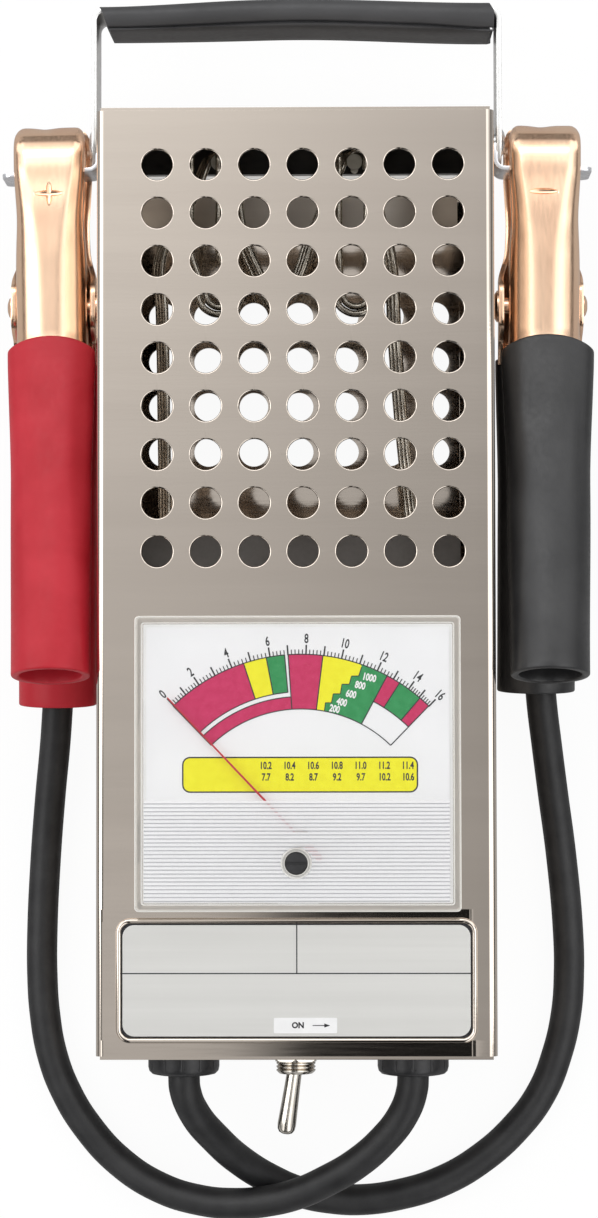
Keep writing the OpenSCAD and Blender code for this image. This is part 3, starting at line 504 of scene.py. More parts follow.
# %% Plain light, white background
PLAIN_LEVEL = 0.70
plain, room = tree.nodes["Background"], tree.nodes.new("ShaderNodeBackground")
plain.inputs["Color"].default_value = (1, 1, 1, 1)
plain.inputs["Strength"].default_value = PLAIN_LEVEL
either = tree.nodes.new("ShaderNodeMix")
either.data_type = "RGBA"
camera_ray = tree.nodes.new("ShaderNodeLightPath")
tree.links.new(camera_ray.outputs["Is Camera Ray"], either.inputs["Factor"])
tree.links.new(level, either.inputs["A"])
either.inputs["B"].default_value = (1, 1, 1, 1)
tree.links.new(either.outputs["Result"], room.inputs["Color"])
blend = tree.nodes.new("ShaderNodeMixShader")
tree.links.new(seen_directly(tree), blend.inputs["Fac"])
tree.links.new(plain.outputs[0], blend.inputs[1])
tree.links.new(room.outputs[0], blend.inputs[2])
tree.links.new(blend.outputs[0], tree.nodes["World Output"].inputs["Surface"])
print("nodes in the world:", len(tree.nodes))

# %% [markdown]
# Three broad lamps, behind and at both sides, give the round copper and the sleeves their long
# highlights. One strong lamp would be simpler, but it draws a hard shadow. All are weak, as the
# world already does most of the lighting.

# %% Lamps
def lamp(name, place, size, watts):
    """A rectangular lamp that points at the tester."""
    light = bpy.data.lights.new(name, "AREA")
    light.shape = "RECTANGLE"
    light.size, light.size_y = size
    light.energy = watts
    holder = bpy.data.objects.new(name, light)
    holder.location = place
    holder.rotation_euler = (-Vector(place)).to_track_quat("-Z", "Y").to_euler()
    bpy.context.scene.collection.objects.link(holder)


lamp("back_lamp", (-0.2, 0.95, 1.25), (1.0, 0.5), 3.2)
lamp("left_lamp", (-1.05, 0.1, 1.0), (0.6, 1.2), 4.2)
lamp("right_lamp", (1.1, 0.0, 1.0), (0.5, 1.2), 2.6)
print("lamps:", len(bpy.data.lights))

# %% [markdown]
# The floor is a plain pale sheet. White paint alone would come out grey in this soft light, and
# more light would bleach the tester. So most of what the camera sees of the floor is a glow,
# and the rest is paint, which carries the tester's shadow. In metal the floor is dimmer, so
# that the undersides of round pieces keep their dark side.

# %% Floor
FLOOR_WHITE, FLOOR_IN_METAL = 0.92, 0.3
bpy.ops.mesh.primitive_plane_add(size=6, location=(0, 0, -0.3 * MM))
floor = named("floor")
floor_finish, tree, shader = blank_material("floor_white")
shader.inputs["Roughness"].default_value = 0.9
under = tree.nodes.new("ShaderNodeMix")
under.data_type = "RGBA"
under.inputs["A"].default_value = (0.9, 0.9, 0.9, 1)
under.inputs["B"].default_value = (0.33, 0.33, 0.33, 1)
glossy_ray = tree.nodes.new("ShaderNodeLightPath")
tree.links.new(glossy_ray.outputs["Is Glossy Ray"], under.inputs["Factor"])
tree.links.new(under.outputs["Result"], shader.inputs["Base Color"])
glow = tree.nodes.new("ShaderNodeEmission")
glow.inputs["Strength"].default_value = 1.02
mix = tree.nodes.new("ShaderNodeMixShader")
tree.links.new(calculated(tree, "MULTIPLY", seen_directly(tree, FLOOR_IN_METAL), FLOOR_WHITE),
               mix.inputs["Fac"])
tree.links.new(shader.outputs[0], mix.inputs[1])
tree.links.new(glow.outputs[0], mix.inputs[2])
tree.links.new(mix.outputs[0], tree.nodes["Material Output"].inputs["Surface"])
floor.data.materials.append(floor_finish)
print("floor width in metres:", round(floor.dimensions.x, 2))

# %% [markdown]
# ## The housing
# Sheet metal is drawn as a line and then given its width, as on a folding machine. These helpers
# draw a line of points and arcs, cut holes through a piece, and roll over its sharp edges. A
# hole could be drawn in the sheet from the start, but a cut leaves the drawing simple.

# %% Drawing, cutting and softening
def line_in_metres(name, points, closed=False):
    """A line of edges through points, with everything selected in edit mode."""
    bpy.ops.mesh.primitive_plane_add(size=1)
    piece = named(name)
    pick(piece, "VERT", lambda v: True)
    bpy.ops.mesh.delete(type="VERT")
    mesh = bmesh.from_edit_mesh(piece.data)
    line = [mesh.verts.new(point) for point in points]
    ends = line[1:] + line[:1] if closed else line[1:]
    for a, b in zip(line, ends):
        mesh.edges.new((a, b))
    bmesh.update_edit_mesh(piece.data)
    bpy.ops.mesh.select_all(action="SELECT")
    return piece


def drawn_line(name, points, closed=False):
    """The same line, with its points in millimetres."""
    return line_in_metres(name, [Vector(point) * MM for point in points], closed)


def arc(centre, radius, start, end, steps):
    """Points on an arc in a plane, with angles in degrees counted anticlockwise from +X."""
    turns = [math.radians(start + (end - start) * i / steps) for i in range(steps + 1)]
    return [(centre[0] + radius * math.cos(t), centre[1] + radius * math.sin(t)) for t in turns]


def cut(piece, cutter, operation="DIFFERENCE"):
    """Take the cutter away from the piece, or add it with UNION."""
    modified(piece, "BOOLEAN", object=cutter, operation=operation, solver="EXACT")
    bpy.data.objects.remove(cutter, do_unlink=True)
    return piece


def hole(piece, radius, start, end, sides=32):
    return cut(piece, rod("hole_cutter", radius, start, end, sides))


def softened(piece, width, segments=2, angle=30):
    """Bevel every edge sharper than an angle, as tumbling or pressing does."""
    return modified(piece, "BEVEL", width=width * MM, segments=segments, limit_method="ANGLE",
                    angle_limit=math.radians(angle), harden_normals=False)


print("corners of a quarter arc in mm:", arc((0, 0), 2, 0, 90, 2))

# %% [markdown]
# The front is one sheet folded down both long sides, with folds of about 2 mm radius and short
# return flanges behind. A box with its back removed would have sharp folds, so the sheet is
# drawn as a line in X and Z and dragged along Y. It goes in four stretches, so that rows of
# points lie where the face dips below the label and below the meter.

# %% Folded front sheet
BOTTOM, TOP, FACE_Z, SHEET = -130.6, 130.0, 68, 1
MID_Z = FACE_Z / 2
SIDES = (-1, 1)
fold_left = arc((-52.9, 65.9), 2.1, 180, 90, 10)
fold_right = arc((52.6, 65.6), 2.4, 90, 0, 10)
section = [(-47.5, 1), (-54.3, 1), (-55, 1.7), *fold_left,
           *((x, FACE_Z) for x in (47.2, 47.7, 48.6, 49.1)),
           *fold_right, (55, 1.7), (54.3, 1), (47.5, 1)]
front_shell = drawn_line("front_shell", [(x, BOTTOM, z) for x, z in section])
for stretch in (4.4, 32.3, 3.4, 220.5):
    bpy.ops.mesh.extrude_region_move(TRANSFORM_OT_translate={"value": (0, stretch * MM, 0)})
BELOW_LABEL, LABEL_TOP, METER_LOW = -126.2, -93.9, -90.5


def on_face(vert):
    return vert.co.z > (FACE_Z - 0.1) * MM


for y, dip, end in ((BOTTOM, 0.42, 48.9), (LABEL_TOP, 0.26, 47.5)):
    pick(front_shell, "VERT", lambda v: on_face(v) and abs(v.co.y - y * MM) < 0.01 * MM
         and v.co.x < end * MM)
    bpy.ops.transform.translate(value=(0, 0, -dip * MM))
only(front_shell)
modified(front_shell, "SOLIDIFY", thickness=SHEET * MM, offset=-1, use_even_offset=True)
outward(front_shell)
print("front sheet length in mm:", round(front_shell.dimensions.y / MM, 1))

# %% [markdown]
# Sixty-three round vents let the heat out. They are punched, so the metal is drawn in round each
# rim. One cutter made of many pins is quicker than one cut for each vent. The rims are then
# found by their distance from the middle of the nearest vent, and rounded.

# %% Vents
VENT_PITCH, VENT_RADIUS, VENT_X, VENT_Y = 13.4, 4.25, 2.0, 61.3


def vent_cutter(name, rows, x_mid, z_low, z_high):
    """Pins for seven columns of vents."""
    pins = []
    for row in range(rows):
        for column in range(7):
            x = x_mid + (column - 3) * VENT_PITCH
            y = VENT_Y + (row - (rows - 1) / 2) * VENT_PITCH
            pins.append(rod(name, VENT_RADIUS, (x, y, z_low), (x, y, z_high), 48))
    return joined(pins, name)


def on_rim(vert):
    """True on the front edge of a vent."""
    x, y = vert.co.x / MM - VENT_X, vert.co.y / MM - VENT_Y
    away = math.hypot(x - VENT_PITCH * round(x / VENT_PITCH),
                      y - VENT_PITCH * round(y / VENT_PITCH))
    return on_face(vert) and abs(away - VENT_RADIUS) < 0.03 and y > -58


cut(front_shell, vent_cutter("vent_cutter", 9, VENT_X, FACE_Z - 3, FACE_Z + 2))
pick(front_shell, "EDGE", lambda e: on_rim(e.verts[0]) and on_rim(e.verts[1]))
print("rim edges:", front_shell.data.total_edge_sel)
bpy.ops.mesh.bevel(offset=0.36 * MM, segments=3)
only(front_shell)

# %% [markdown]
# The other holes in the front sheet: a large one behind the meter, two small ones on each side
# for screws, one on each side for the handle's pivot, and a notch in the return flange at each
# screw. The rows where the face begins or ends to dip are marked sharp, so that each dip keeps
# its crease.

# %% Other holes and soft edges
SCREW_ROWS = (-101, 101)
PIVOT_Y = 127
hole(front_shell, 26, (0.5, -63.5, 65), (0.5, -63.5, 70), 96)
for side in SIDES:
    for y in SCREW_ROWS:
        hole(front_shell, 1.5, (side * 52, y, MID_Z), (side * 57, y, MID_Z))
        cut(front_shell, box("ear_cutter", (side * 51 - 4, y - 9, 0), (side * 51 + 4, y + 9, 2.5)))
    hole(front_shell, 2.5, (side * 52, PIVOT_Y, MID_Z), (side * 57, PIVOT_Y, MID_Z))
softened(front_shell, 0.2, 2, 60)
pick(front_shell, "EDGE", lambda e: any(all(abs(v.co.y - y * MM) < 0.02 * MM for v in e.verts)
                                        for y in (BELOW_LABEL, LABEL_TOP, METER_LOW))
     and all(v.co.z > 67.5 * MM for v in e.verts))
bpy.ops.mesh.mark_sharp()
finished(front_shell, nickel_sheet, "housing", ["front_cover"], weighted=True)

# %% [markdown]
# A raised bead is pressed round the label. A tube along a rounded path would do, but its corners
# pinch. This one starts as a rounded plate without a top or a bottom, becomes a ring with a
# thickness, and its upper edges are rolled over.

# %% Label bead
bead = rounded_plate("label_bead", (-49.45, -126.95, 67.6), (49.45, -92.85, 68.8), 4, 10)
pick(bead, "FACE", lambda face: abs(face.normal.z) > 0.9)
bpy.ops.mesh.delete(type="FACE")
only(bead)
modified(bead, "SOLIDIFY", thickness=1.5 * MM, offset=-1, use_even_offset=True)
outward(bead)
pick(bead, "EDGE", lambda e: all(v.co.z > 68.7 * MM for v in e.verts)
     and len(e.link_faces) == 2 and e.calc_face_angle(0) > 1)
bpy.ops.mesh.bevel(offset=0.74 * MM, segments=6)
finished(bead, nickel_sheet, "housing", ["front_cover"], 60)

# %% [markdown]
# The back is a flat panel with both end walls folded up and four ears for the side screws. It
# is bent from a line too. Its narrow side strips and its ears are boxes that are joined to it,
# because they lie across the line's fold. It has four rows of vents, the holes for the leads
# and one for the switch.

# %% Rear sheet
SWITCH_X, GLAND_X = -0.7, 32.5


def sheet_along(name, points, drag, thickness):
    """A bent sheet: the line is dragged sideways, then thickened inwards."""
    piece = drawn_line(name, points)
    bpy.ops.mesh.extrude_region_move(TRANSFORM_OT_translate={"value": Vector(drag) * MM})
    only(piece)
    modified(piece, "SOLIDIFY", thickness=abs(thickness) * MM,
             offset=-1 if thickness > 0 else 1, use_even_offset=True)
    return outward(piece)


rear_line = [(BOTTOM, 66.5), (BOTTOM, 2.0), (BOTTOM + 1, 1.06), (TOP - 1, 1.06), (TOP, 2.0),
             (TOP, 66.9)]
rear_shell = sheet_along("rear_shell", [(-53.9, y, z) for y, z in rear_line],
                         (107.8, 0, 0), -SHEET)
strips = [box("rear_strip", (side * 54.4 - 0.6, BOTTOM + 0.1, 0),
              (side * 54.4 + 0.6, TOP - 0.1, 1)) for side in SIDES]
ears = [box("rear_ear", (side * 53.4 - 0.5, y - 8, 0.4), (side * 53.4 + 0.5, y + 8, 42))
        for side in SIDES for y in SCREW_ROWS]
for part in strips + ears:
    cut(rear_shell, part, "UNION")
cut(rear_shell, vent_cutter("rear_vent_cutter", 4, 0, -2, 3))
for x, radius in ((-GLAND_X, 7.1), (GLAND_X, 7.1), (SWITCH_X, 5.6)):
    hole(rear_shell, radius, (x, -133, MID_Z), (x, -128, MID_Z), 40)
for side in SIDES:
    for y in SCREW_ROWS:
        hole(rear_shell, 1.5, (side * 50, y, MID_Z), (side * 57, y, MID_Z))
softened(rear_shell, 0.18, 2)
finished(rear_shell, nickel_sheet, "housing", ["rear_cover"], weighted=True)

# %% [markdown]
# Screws, rivets, the switch and the glands are round parts. Cylinders with bevels would miss
# their domes and grooves, so each is a profile, half of its section, that is spun about an axis
# as on a lathe.

# %% Turned parts
OUT_OF_END = (math.pi / 2, 0, 0)
OUT_OF_SIDE = {-1: (0, -math.pi / 2, 0), 1: (0, math.pi / 2, 0)}


def turned(name, profile, place=(0, 0, 0), turn=(0, 0, 0), steps=48):
    """A turned part: (radius, height) pairs spun about Z, then turned and moved to its place."""
    piece = line_in_metres(name, [(radius * MM, 0, height * MM) for radius, height in profile])
    bpy.ops.mesh.spin(steps=steps, angle=math.tau, center=(0, 0, 0), axis=(0, 0, 1))
    outward(piece)
    piece.rotation_euler = turn
    piece.location = Vector(place) * MM
    return applied(piece)


def copied(piece, name, place, turn=(0, 0, 0)):
    """A copy with a mesh of its own, turned and moved to its place."""
    twin = piece.copy()
    twin.data = piece.data.copy()
    twin.name = name
    bpy.context.scene.collection.objects.link(twin)
    twin.rotation_euler = turn
    twin.location = Vector(place) * MM
    return applied(twin)


print("turn that points a part out of each side, in radians:", OUT_OF_SIDE)

# %% [markdown]
# Small slotted screws hold the two sheets together, two on each side. One is turned upright at
# the origin, where its profile and its slot are easy to read. The four in the box are copies
# of it, each with a mesh of its own, laid so that they point outwards.

# %% Side screws
PAN_HEAD = [(0, 1.4), (1.2, 1.36), (1.9, 1.1), (2.3, 0.6), (2.4, 0), (1.5, 0), (1.5, -5), (0, -5)]

pattern = turned("screw_pattern", PAN_HEAD, steps=32)
cut(pattern, box("slot_cutter", (-3, -0.3, 0.7), (3, 0.3, 1.9)))
screws = joined([copied(pattern, "side_screw", (side * 55, y, MID_Z), OUT_OF_SIDE[side])
                 for side in SIDES for y in SCREW_ROWS], "side_screws")
bpy.data.objects.remove(pattern, do_unlink=True)
finished(screws, zinc, "housing", ["cover_screws"])

# %% [markdown]
# ## The name plate
# A thin satin plate sits inside the bead, on a dark sheet that shows as a fine line round it: a
# painted shadow in the gap between the plate and the bead.
# It could be part of the face, but a separate plate has an edge that catches the light.

# %% Name plate
plate_silver = finish("plate_silver", (0.68, 0.675, 0.65), (0.72, 0.715, 0.69), (0.36, 0.44),
                      metallic=0.35, stretch=(0.02, 1, 1), scale=300, fine_scale=3000, bump=0.04)
print_ink = finish("print_ink", (0.022, 0.022, 0.025), (0.040, 0.040, 0.044), (0.45, 0.6),
                   scale=900, bump=0.02, shader_values=(("Specular IOR Level", 0.15),))
print_white = finish("print_white", (0.88, 0.88, 0.88), (0.92, 0.92, 0.92), (0.45, 0.55),
                     scale=300, bump=0.02)
PLATE_Z = 68.4
# painted shadow: a dark sheet that shows as a fine line between the plate and the bead
gap_shadow = rounded_plate("plate_gap_shadow", (-48, -125.5, 67.9), (48, -94.3, 68.05), 2.5)
finished(gap_shadow, print_ink, "housing", angle=0)
name_plate = rounded_plate("name_plate", (-47.6, -125.1, FACE_Z), (47.6, -94.75, PLATE_Z), 3.2,
                           10)
softened(name_plate, 0.1, 2, 60)
finished(name_plate, plate_silver, "housing", ["label_plate"],
         weighted=True)

# %% [markdown]
# Print is a film of ink. An image could carry it, but a film with a little thickness of its own
# stays sharp at any distance. Letters start as a text object, which is turned into a mesh. A
# stroke is a thin slab between two points.

# %% Letters and strokes
INK = 0.03


def slab(name, outline, drag):
    """A closed outline filled and pushed out into a slab."""
    piece = drawn_line(name, outline, closed=True)
    bpy.ops.mesh.edge_face_add()
    bpy.ops.mesh.extrude_region_move(TRANSFORM_OT_translate={"value": Vector(drag) * MM})
    return outward(piece)


def stroke(start, end, width, z):
    """A straight printed line between two points."""
    start, end = Vector((*start, z)), Vector((*end, z))
    side = (end - start).cross(Vector((0, 0, 1))).normalized() * width / 2
    return slab("stroke", [start - side, end - side, end + side, start + side],
                (0, 0, INK))


def lettering(text, centre, z, height, turn=0.0, stretch=0.7, bold=0.075):
    """Raised print: the text's middle lies on centre, turned clockwise by degrees."""
    bpy.ops.object.text_add(location=Vector((*centre, z)) * MM,
                            rotation=(0, 0, math.radians(-turn)))
    words = bpy.context.active_object
    words.data.body = text
    words.data.align_x, words.data.align_y = "CENTER", "CENTER"
    words.data.size = height * 1.38 * MM
    words.data.extrude = 0.012 * MM
    words.data.offset = bold * MM
    words.data.resolution_u = 3
    words.scale = (stretch, 1, 1)
    bpy.ops.object.convert(target="MESH")
    return named("lettering")


def printed(name, pieces, ink):
    return finished(joined(pieces, name), ink, "housing", angle=0)


print("thickness of a stroke of ink in mm:", INK)

# %% [markdown]
# Two fine rules divide the plate, and a white patch above the switch shows which way to throw
# it. The rest of the plate is bare. Strokes and letters of one ink could each be a piece, but
# joined ones are easier to keep together.

# %% Print on the plate
RULE_Y, MARK_Y = -107.95, -122.1
printed("plate_rules", [stroke((-47.8, RULE_Y), (47.8, RULE_Y), 0.32, PLATE_Z),
                        stroke((0.1, RULE_Y), (0.1, -94.6), 0.32, PLATE_Z)],
        print_ink)
patch = rounded_plate("switch_patch", (-6.2, -124.2, 68.39), (11.1, -120.0, 68.43), 0.3, 2)
finished(patch, print_white, "housing", angle=0)
arrow_head = slab("arrow_head", [(7.6, -122.65, 68.43), (9.2, MARK_Y, 68.43),
                                 (7.6, -121.55, 68.43)], (0, 0, INK))
printed("switch_mark", [lettering("ON", (0.4, MARK_Y), 68.44, 1.6, bold=0.09, stretch=0.95),
                        stroke((4.4, MARK_Y), (7.7, MARK_Y), 0.22, 68.43), arrow_head],
        print_ink)

# %% [markdown]
# ## The meter
# The dial is a thin white plate with a hole for the pointer's axis and two for its posts. Its
# scale isn't even: the spacing is read off a short list of angles, one for each even number
# from 0 to 16. Angles are counted from straight up, clockwise positive.

# %% Dial plate
DIAL_X, DIAL_Y, DIAL_Z = 1.3, -71.0, 69.8
SCALE = [-43.8, -33.6, -22.0, -9.6, 1.7, 12.9, 24.7, 36.0, 44.3]
dial_paper = finish("dial_paper", (0.90, 0.90, 0.91), (0.93, 0.93, 0.94), (0.35, 0.45),
                    scale=60, bump=0.02)
dial = rounded_plate("dial_face", (-41, -87.9, 69.2), (42, -13.3, DIAL_Z), 0.5, 3)
hole(dial, 2.5, (DIAL_X, DIAL_Y, 69), (DIAL_X, DIAL_Y, 70), 40)
for side in SIDES:
    hole(dial, 1.4, (DIAL_X + side * 12, DIAL_Y, 69), (DIAL_X + side * 12, DIAL_Y, 70), 24)
finished(dial, dial_paper, "housing", ["dial_plate"])

# %% [markdown]
# Coloured bands show what a reading means: red is weak, yellow doubtful and green good. A band
# is a sector of a ring. It could be cut out of a disc, but a flat grid that is bent round the
# axis has its edges exactly where the angles say. `wrapped` bends a grid over any surface
# given as a function of two numbers from 0 to 1, and later shapes the jaws and sleeves too.

# %% Wrapped grids and sectors
def wrapped(name, columns, rows, place):
    """A grid whose points go where place(u, v) says."""
    bpy.ops.mesh.primitive_grid_add(x_subdivisions=columns, y_subdivisions=rows, size=2)
    piece = named(name)
    for vert in piece.data.vertices:
        u, v = (vert.co.x + 1) / 2, (vert.co.y + 1) / 2
        vert.co = Vector(place(u, v)) * MM
    return piece


def on_dial(radius, angle):
    turn = math.radians(angle)
    return DIAL_X + radius * math.sin(turn), DIAL_Y + radius * math.cos(turn)


def band(inner, outer, start, end, z=DIAL_Z):
    """A flat sector of the dial, thickened into a print."""
    columns = max(2, int(abs(end - start) / 1.5))
    piece = wrapped("band", columns, 2, lambda u, v: (
        *on_dial(inner + (outer - inner) * v, start + (end - start) * u), z + INK))
    modified(piece, "SOLIDIFY", thickness=INK * MM, offset=-1)
    return outward(piece)


print("a point straight up from the axis in mm:", on_dial(50, 0))

# %% [markdown]
# Printing ink on a dial is matt, so each ink gets a rough surface with little gloss. The yellow
# bands end in steps, which are drawn as an outline of their own, and there is a small table
# below the bands on a yellow ground.

# %% Coloured bands
FOOT, LOWER, UPPER, OUTER, RIM = 35.3, 38.7, 40, 42.3, 50.3
FIRST, LAST = -44, 44.2


def dial_ink(name, low, high):
    return finish(name, low, high, (0.45, 0.6), scale=500, fine_scale=3000, bump=0.02,
                  shader_values=(("Specular IOR Level", 0.12),))


crimson = dial_ink("dial_crimson", (0.57, 0.018, 0.105), (0.62, 0.028, 0.13))
yellow = dial_ink("dial_yellow", (0.90, 0.84, 0.008), (0.94, 0.89, 0.015))
green = dial_ink("dial_green", (0.018, 0.27, 0.075), (0.03, 0.31, 0.095))
printed("crimson_bands", [band(UPPER, RIM, FIRST, -18.1), band(FOOT, LOWER, FIRST, -3.9),
                          band(FOOT, RIM, -3.9, 7.0), band(OUTER, RIM, 28.1, 32.6),
                          band(OUTER, RIM, 40.5, LAST)], crimson)
printed("green_bands", [band(UPPER, RIM, -10.8, -5.0), band(FOOT, RIM, 7.0, 28.1),
                        band(OUTER, RIM, 32.6, 40.5)], green)
steps = [(18.02, -24.26), (17.22, -26.7), (15.26, -26.7), (14.64, -28.96), (12.63, -28.95),
         (12.19, -31.58), (10.24, -31.58), (9.74, -34.02), (8.09, -34.02), (7.78, -36.46)]
yellow_edge = ([on_dial(RIM, a) for a in (7.0, 10.0, 13.0, 16.0, 19.2)] + steps
               + [on_dial(FOOT, 9.5), on_dial(FOOT, 7.0)])
table_box = rounded_plate("table_box", (-31.0, -58.4, DIAL_Z), (33.2, -48.95, DIAL_Z + INK), 2)
printed("yellow_bands", [band(UPPER, RIM, -18.1, -10.8),
                         slab("yellow_step", [(x, y, DIAL_Z + INK) for x, y in yellow_edge],
                              (0, 0, 0.02)), table_box], yellow)


# %% [markdown]
# Dark outlines part the bands, and 81 ticks stand on the rim, every fifth of them longer. A tick
# is a stroke along a radius. The loop reads its angle off the scale's own list, so ticks and
# numbers can't drift apart.

# %% Dark outlines and scale ticks
LINE_Z = DIAL_Z + 0.05
HALF_LINE = 0.14


def arc_line(radius, start, end):
    return band(radius - HALF_LINE, radius + HALF_LINE, start, end, LINE_Z)


def line_at(angle, inner, outer, width):
    return stroke(on_dial(inner, angle), on_dial(outer, angle), width, LINE_Z)


def scale_angle(volts):
    low = min(int(volts // 2), 7)
    part = volts / 2 - low
    return SCALE[low] + (SCALE[low + 1] - SCALE[low]) * part


outlines = [arc_line(FOOT, FIRST, LAST), arc_line(RIM, FIRST, -5.0), arc_line(RIM, -3.9, LAST),
            arc_line(UPPER, FIRST, -5.0), arc_line(LOWER, FIRST, -3.9),
            arc_line(OUTER, 28.1, LAST)]
outlines += [line_at(a, FOOT, RIM, 0.3) for a in (FIRST, -3.9, 7.0, 28.1, LAST)]
outlines += [line_at(a, UPPER, RIM, 0.3) for a in (-18.1, -10.8, -5.0)]
outlines += [line_at(a, OUTER, RIM, 0.3) for a in (32.6, 40.5)]
outlines += [stroke(a, b, 0.24, LINE_Z) for a, b in zip(steps, steps[1:])]
ring = rounded_plate("table_rim", (-31.2, -58.6, DIAL_Z), (33.4, -48.75, DIAL_Z + 0.04), 2.2)
cut(ring, rounded_plate("table_gap", (-30.8, -58.2, DIAL_Z - 1), (33.0, -49.15, DIAL_Z + 1), 1.8))
outlines.append(ring)
ticks = []
for step in range(81):
    major = step % 5 == 0
    ticks.append(line_at(scale_angle(step / 5), 50.2, 52.9 if major else 51.6,
                         0.42 if major else 0.26))
printed("dial_lines", outlines + ticks, print_ink)

# %% [markdown]
# Numbers stand round the scale, turned almost as far as their angle, in the two rows of the
# table, and in white on the stepped band. They are text like the words on the plate.

# %% Numbers on the dial
numbers = [lettering(str(2 * i), on_dial(54.5, angle), DIAL_Z + INK, 2.6, angle * 0.95,
                     stretch=0.66)
           for i, angle in enumerate(SCALE)]
loads = ("10.2", "10.4", "10.6", "10.8", "11.0", "11.2", "11.4")
cranks = ("7.7", "8.2", "8.7", "9.2", "9.7", "10.2", "10.6")
for column, (load, crank) in enumerate(zip(loads, cranks)):
    x = -8.3 + 6.48 * column
    for text, place in ((load, (x, -51.25)), (crank, (x + 0.1, -54.4))):
        numbers.append(lettering(text, place, DIAL_Z + 2 * INK, 2.0))
printed("dial_numbers", numbers, print_ink)
white_numbers = [("1000", 20.1, -27.2), ("800", 17.6, -29.35), ("600", 15.1, -31.75),
                 ("400", 12.55, -33.95), ("200", 10.6, -35.75)]
printed("band_numbers", [lettering(text, (x, y), DIAL_Z + 0.07, 1.95, 13, bold=0.1)
                         for text, x, y in white_numbers], print_white)

# %% [markdown]
# The cover is clear moulded plastic. Its flat top is a pane of its own, almost invisible until
# it catches a light at a low angle, while its four walls are milky at the cut edges. Glass
# that bends light would be truer, but it darkens what lies under it. This plastic is clear by
# its alpha, which rises at low angles, and shadows pass through most of it.

# %% Clear plastic
def clear_plastic(name, tint, facing_alpha, edge_alpha, roughness):
    """A plastic with one alpha seen from the front and another at a low angle."""
    material, tree, shader = blank_material(name)
    for socket, value in (("Base Color", (*tint, 1)), ("Metallic", 0),
                          ("Transmission Weight", 0), ("IOR", 1.49)):
        shader.inputs[socket].default_value = value
    weight, path = tree.nodes.new("ShaderNodeLayerWeight"), tree.nodes.new("ShaderNodeLightPath")
    weight.inputs["Blend"].default_value = 0.5
    cover = remapped(tree, weight.outputs["Facing"], 0.04, 0.3, facing_alpha, edge_alpha)
    unseen = calculated(tree, "MAXIMUM", path.outputs["Is Shadow Ray"],
                        path.outputs["Is Diffuse Ray"])
    lighter = remapped(tree, unseen, 0, 1, 1.0, 0.12)
    tree.links.new(calculated(tree, "MULTIPLY", cover, lighter), shader.inputs["Alpha"])
    grain = grained(tree, (1, 1, 1), 40, 500)
    haze = remapped(tree, grain["Mask"], 0, 1, roughness * 0.6, roughness * 1.4)
    tree.links.new(haze, shader.inputs["Roughness"])
    return material


clear_pane = clear_plastic("clear_pane", (0.95, 0.96, 0.97), 0.02, 0.5, 0.04)
milky_wall = clear_plastic("milky_wall", (0.92, 0.90, 0.85), 0.30, 0.92, 0.10)
ribbed_clear = clear_plastic("ribbed_clear", (0.93, 0.93, 0.94), 0.5, 0.9, 0.12)
# painted shade: a darker grey copy of the ribbed plastic for the ribs' lower slopes
rib_painted_shade = clear_plastic("rib_painted_shade", (0.52, 0.52, 0.55), 0.6, 0.8, 0.12)
print("materials made:", len(bpy.data.materials))

# %% [markdown]
# The walls are a rounded plate with a smaller one cut out of it, and the pane lies between them.
# A single hollow shell would also do, but the pane and the walls need different plastics.

# %% Meter cover
COVER_Z = 75
ZERO_X, ZERO_Y = 0.1, -77.7
window = rounded_plate("window_pane", (-42.2, -89.1, 73), (43.2, -12.1, COVER_Z), 0.8, 4)
hole(window, 3.1, (ZERO_X, ZERO_Y, 72), (ZERO_X, ZERO_Y, 76), 40)
finished(window, clear_pane, "housing", ["meter_cover"],
         weighted=True)
walls = rounded_plate("window_walls", (-44, -90.9, FACE_Z), (45, -10.3, COVER_Z), 1.2, 5)
cut(walls, rounded_plate("wall_gap", (-42, -88.9, 60), (43, -12.3, 80), 0.6, 4))
softened(walls, 0.45, 3, 60)
finished(walls, milky_wall, "housing", ["meter_cover"],
         weighted=True)

# %% [markdown]
# The lower third of the pane is ribbed, which hides the movement behind it. One rib is a bar
# whose top is drawn in, and an array sets 26 of them side by side. Real ribs bend the light, so
# each looks darker on its lower slope: those faces get a darker grey copy of the clear plastic,
# a painted shade.

# %% Ribs
rib = box("window_ribs", (-41.4, -61.7, COVER_Z - 0.1), (41.9, -60.7, COVER_Z + 0.22))
pick(rib, "VERT", lambda v: v.co.z > COVER_Z * MM)
bpy.ops.transform.resize(value=(1, 0.12, 1), center_override=Vector((0.2, -61.32, 75.26)) * MM)
only(rib)
modified(rib, "ARRAY", count=26, use_relative_offset=False, use_constant_offset=True,
         constant_offset_displace=(0, -1.058 * MM, 0))
hole(rib, 4.3, (ZERO_X, ZERO_Y, 72), (ZERO_X, ZERO_Y, 77), 48)
finished(rib, ribbed_clear, "housing", ["meter_cover"], angle=0)
# the lower slopes of the ribs get the painted shade
rib.data.materials.append(rib_painted_shade)
for face in rib.data.polygons:
    face.material_index = 1 if face.normal.y < -0.3 and face.normal.z > 0.2 else 0

# %% [markdown]
# A small black screw in the cover sets the pointer to zero. Both the screw and the low ring that
# is moulded round it are turned from their profiles. The screw's slot is cut, and it rides on a
# body of its own, because it turns.

# %% Zero screw and its ring
collar = turned("screw_ring", [(3.15, 74.6), (4.2, 74.6), (4.2, 75.05), (3.95, 75.28),
                               (3.4, 75.28), (3.15, 75.0), (3.15, 74.6)], (ZERO_X, ZERO_Y, 0))
finished(collar, milky_wall, "housing", ["meter_cover"])
screw = turned("zero_slot_screw", [(0, 72.1), (3.8, 72.1), (3.8, 72.9), (3.0, 72.9),
                                   (3.0, 75.05), (2.75, 75.3), (0, 75.3)], (ZERO_X, ZERO_Y, 0))
cut(screw, box("slot_cutter", (-3.9, -78.15, 74.6), (4.1, -77.25, 76)))
finished(screw, gland_rubber, "zero_adjuster", ["zero_screw"])

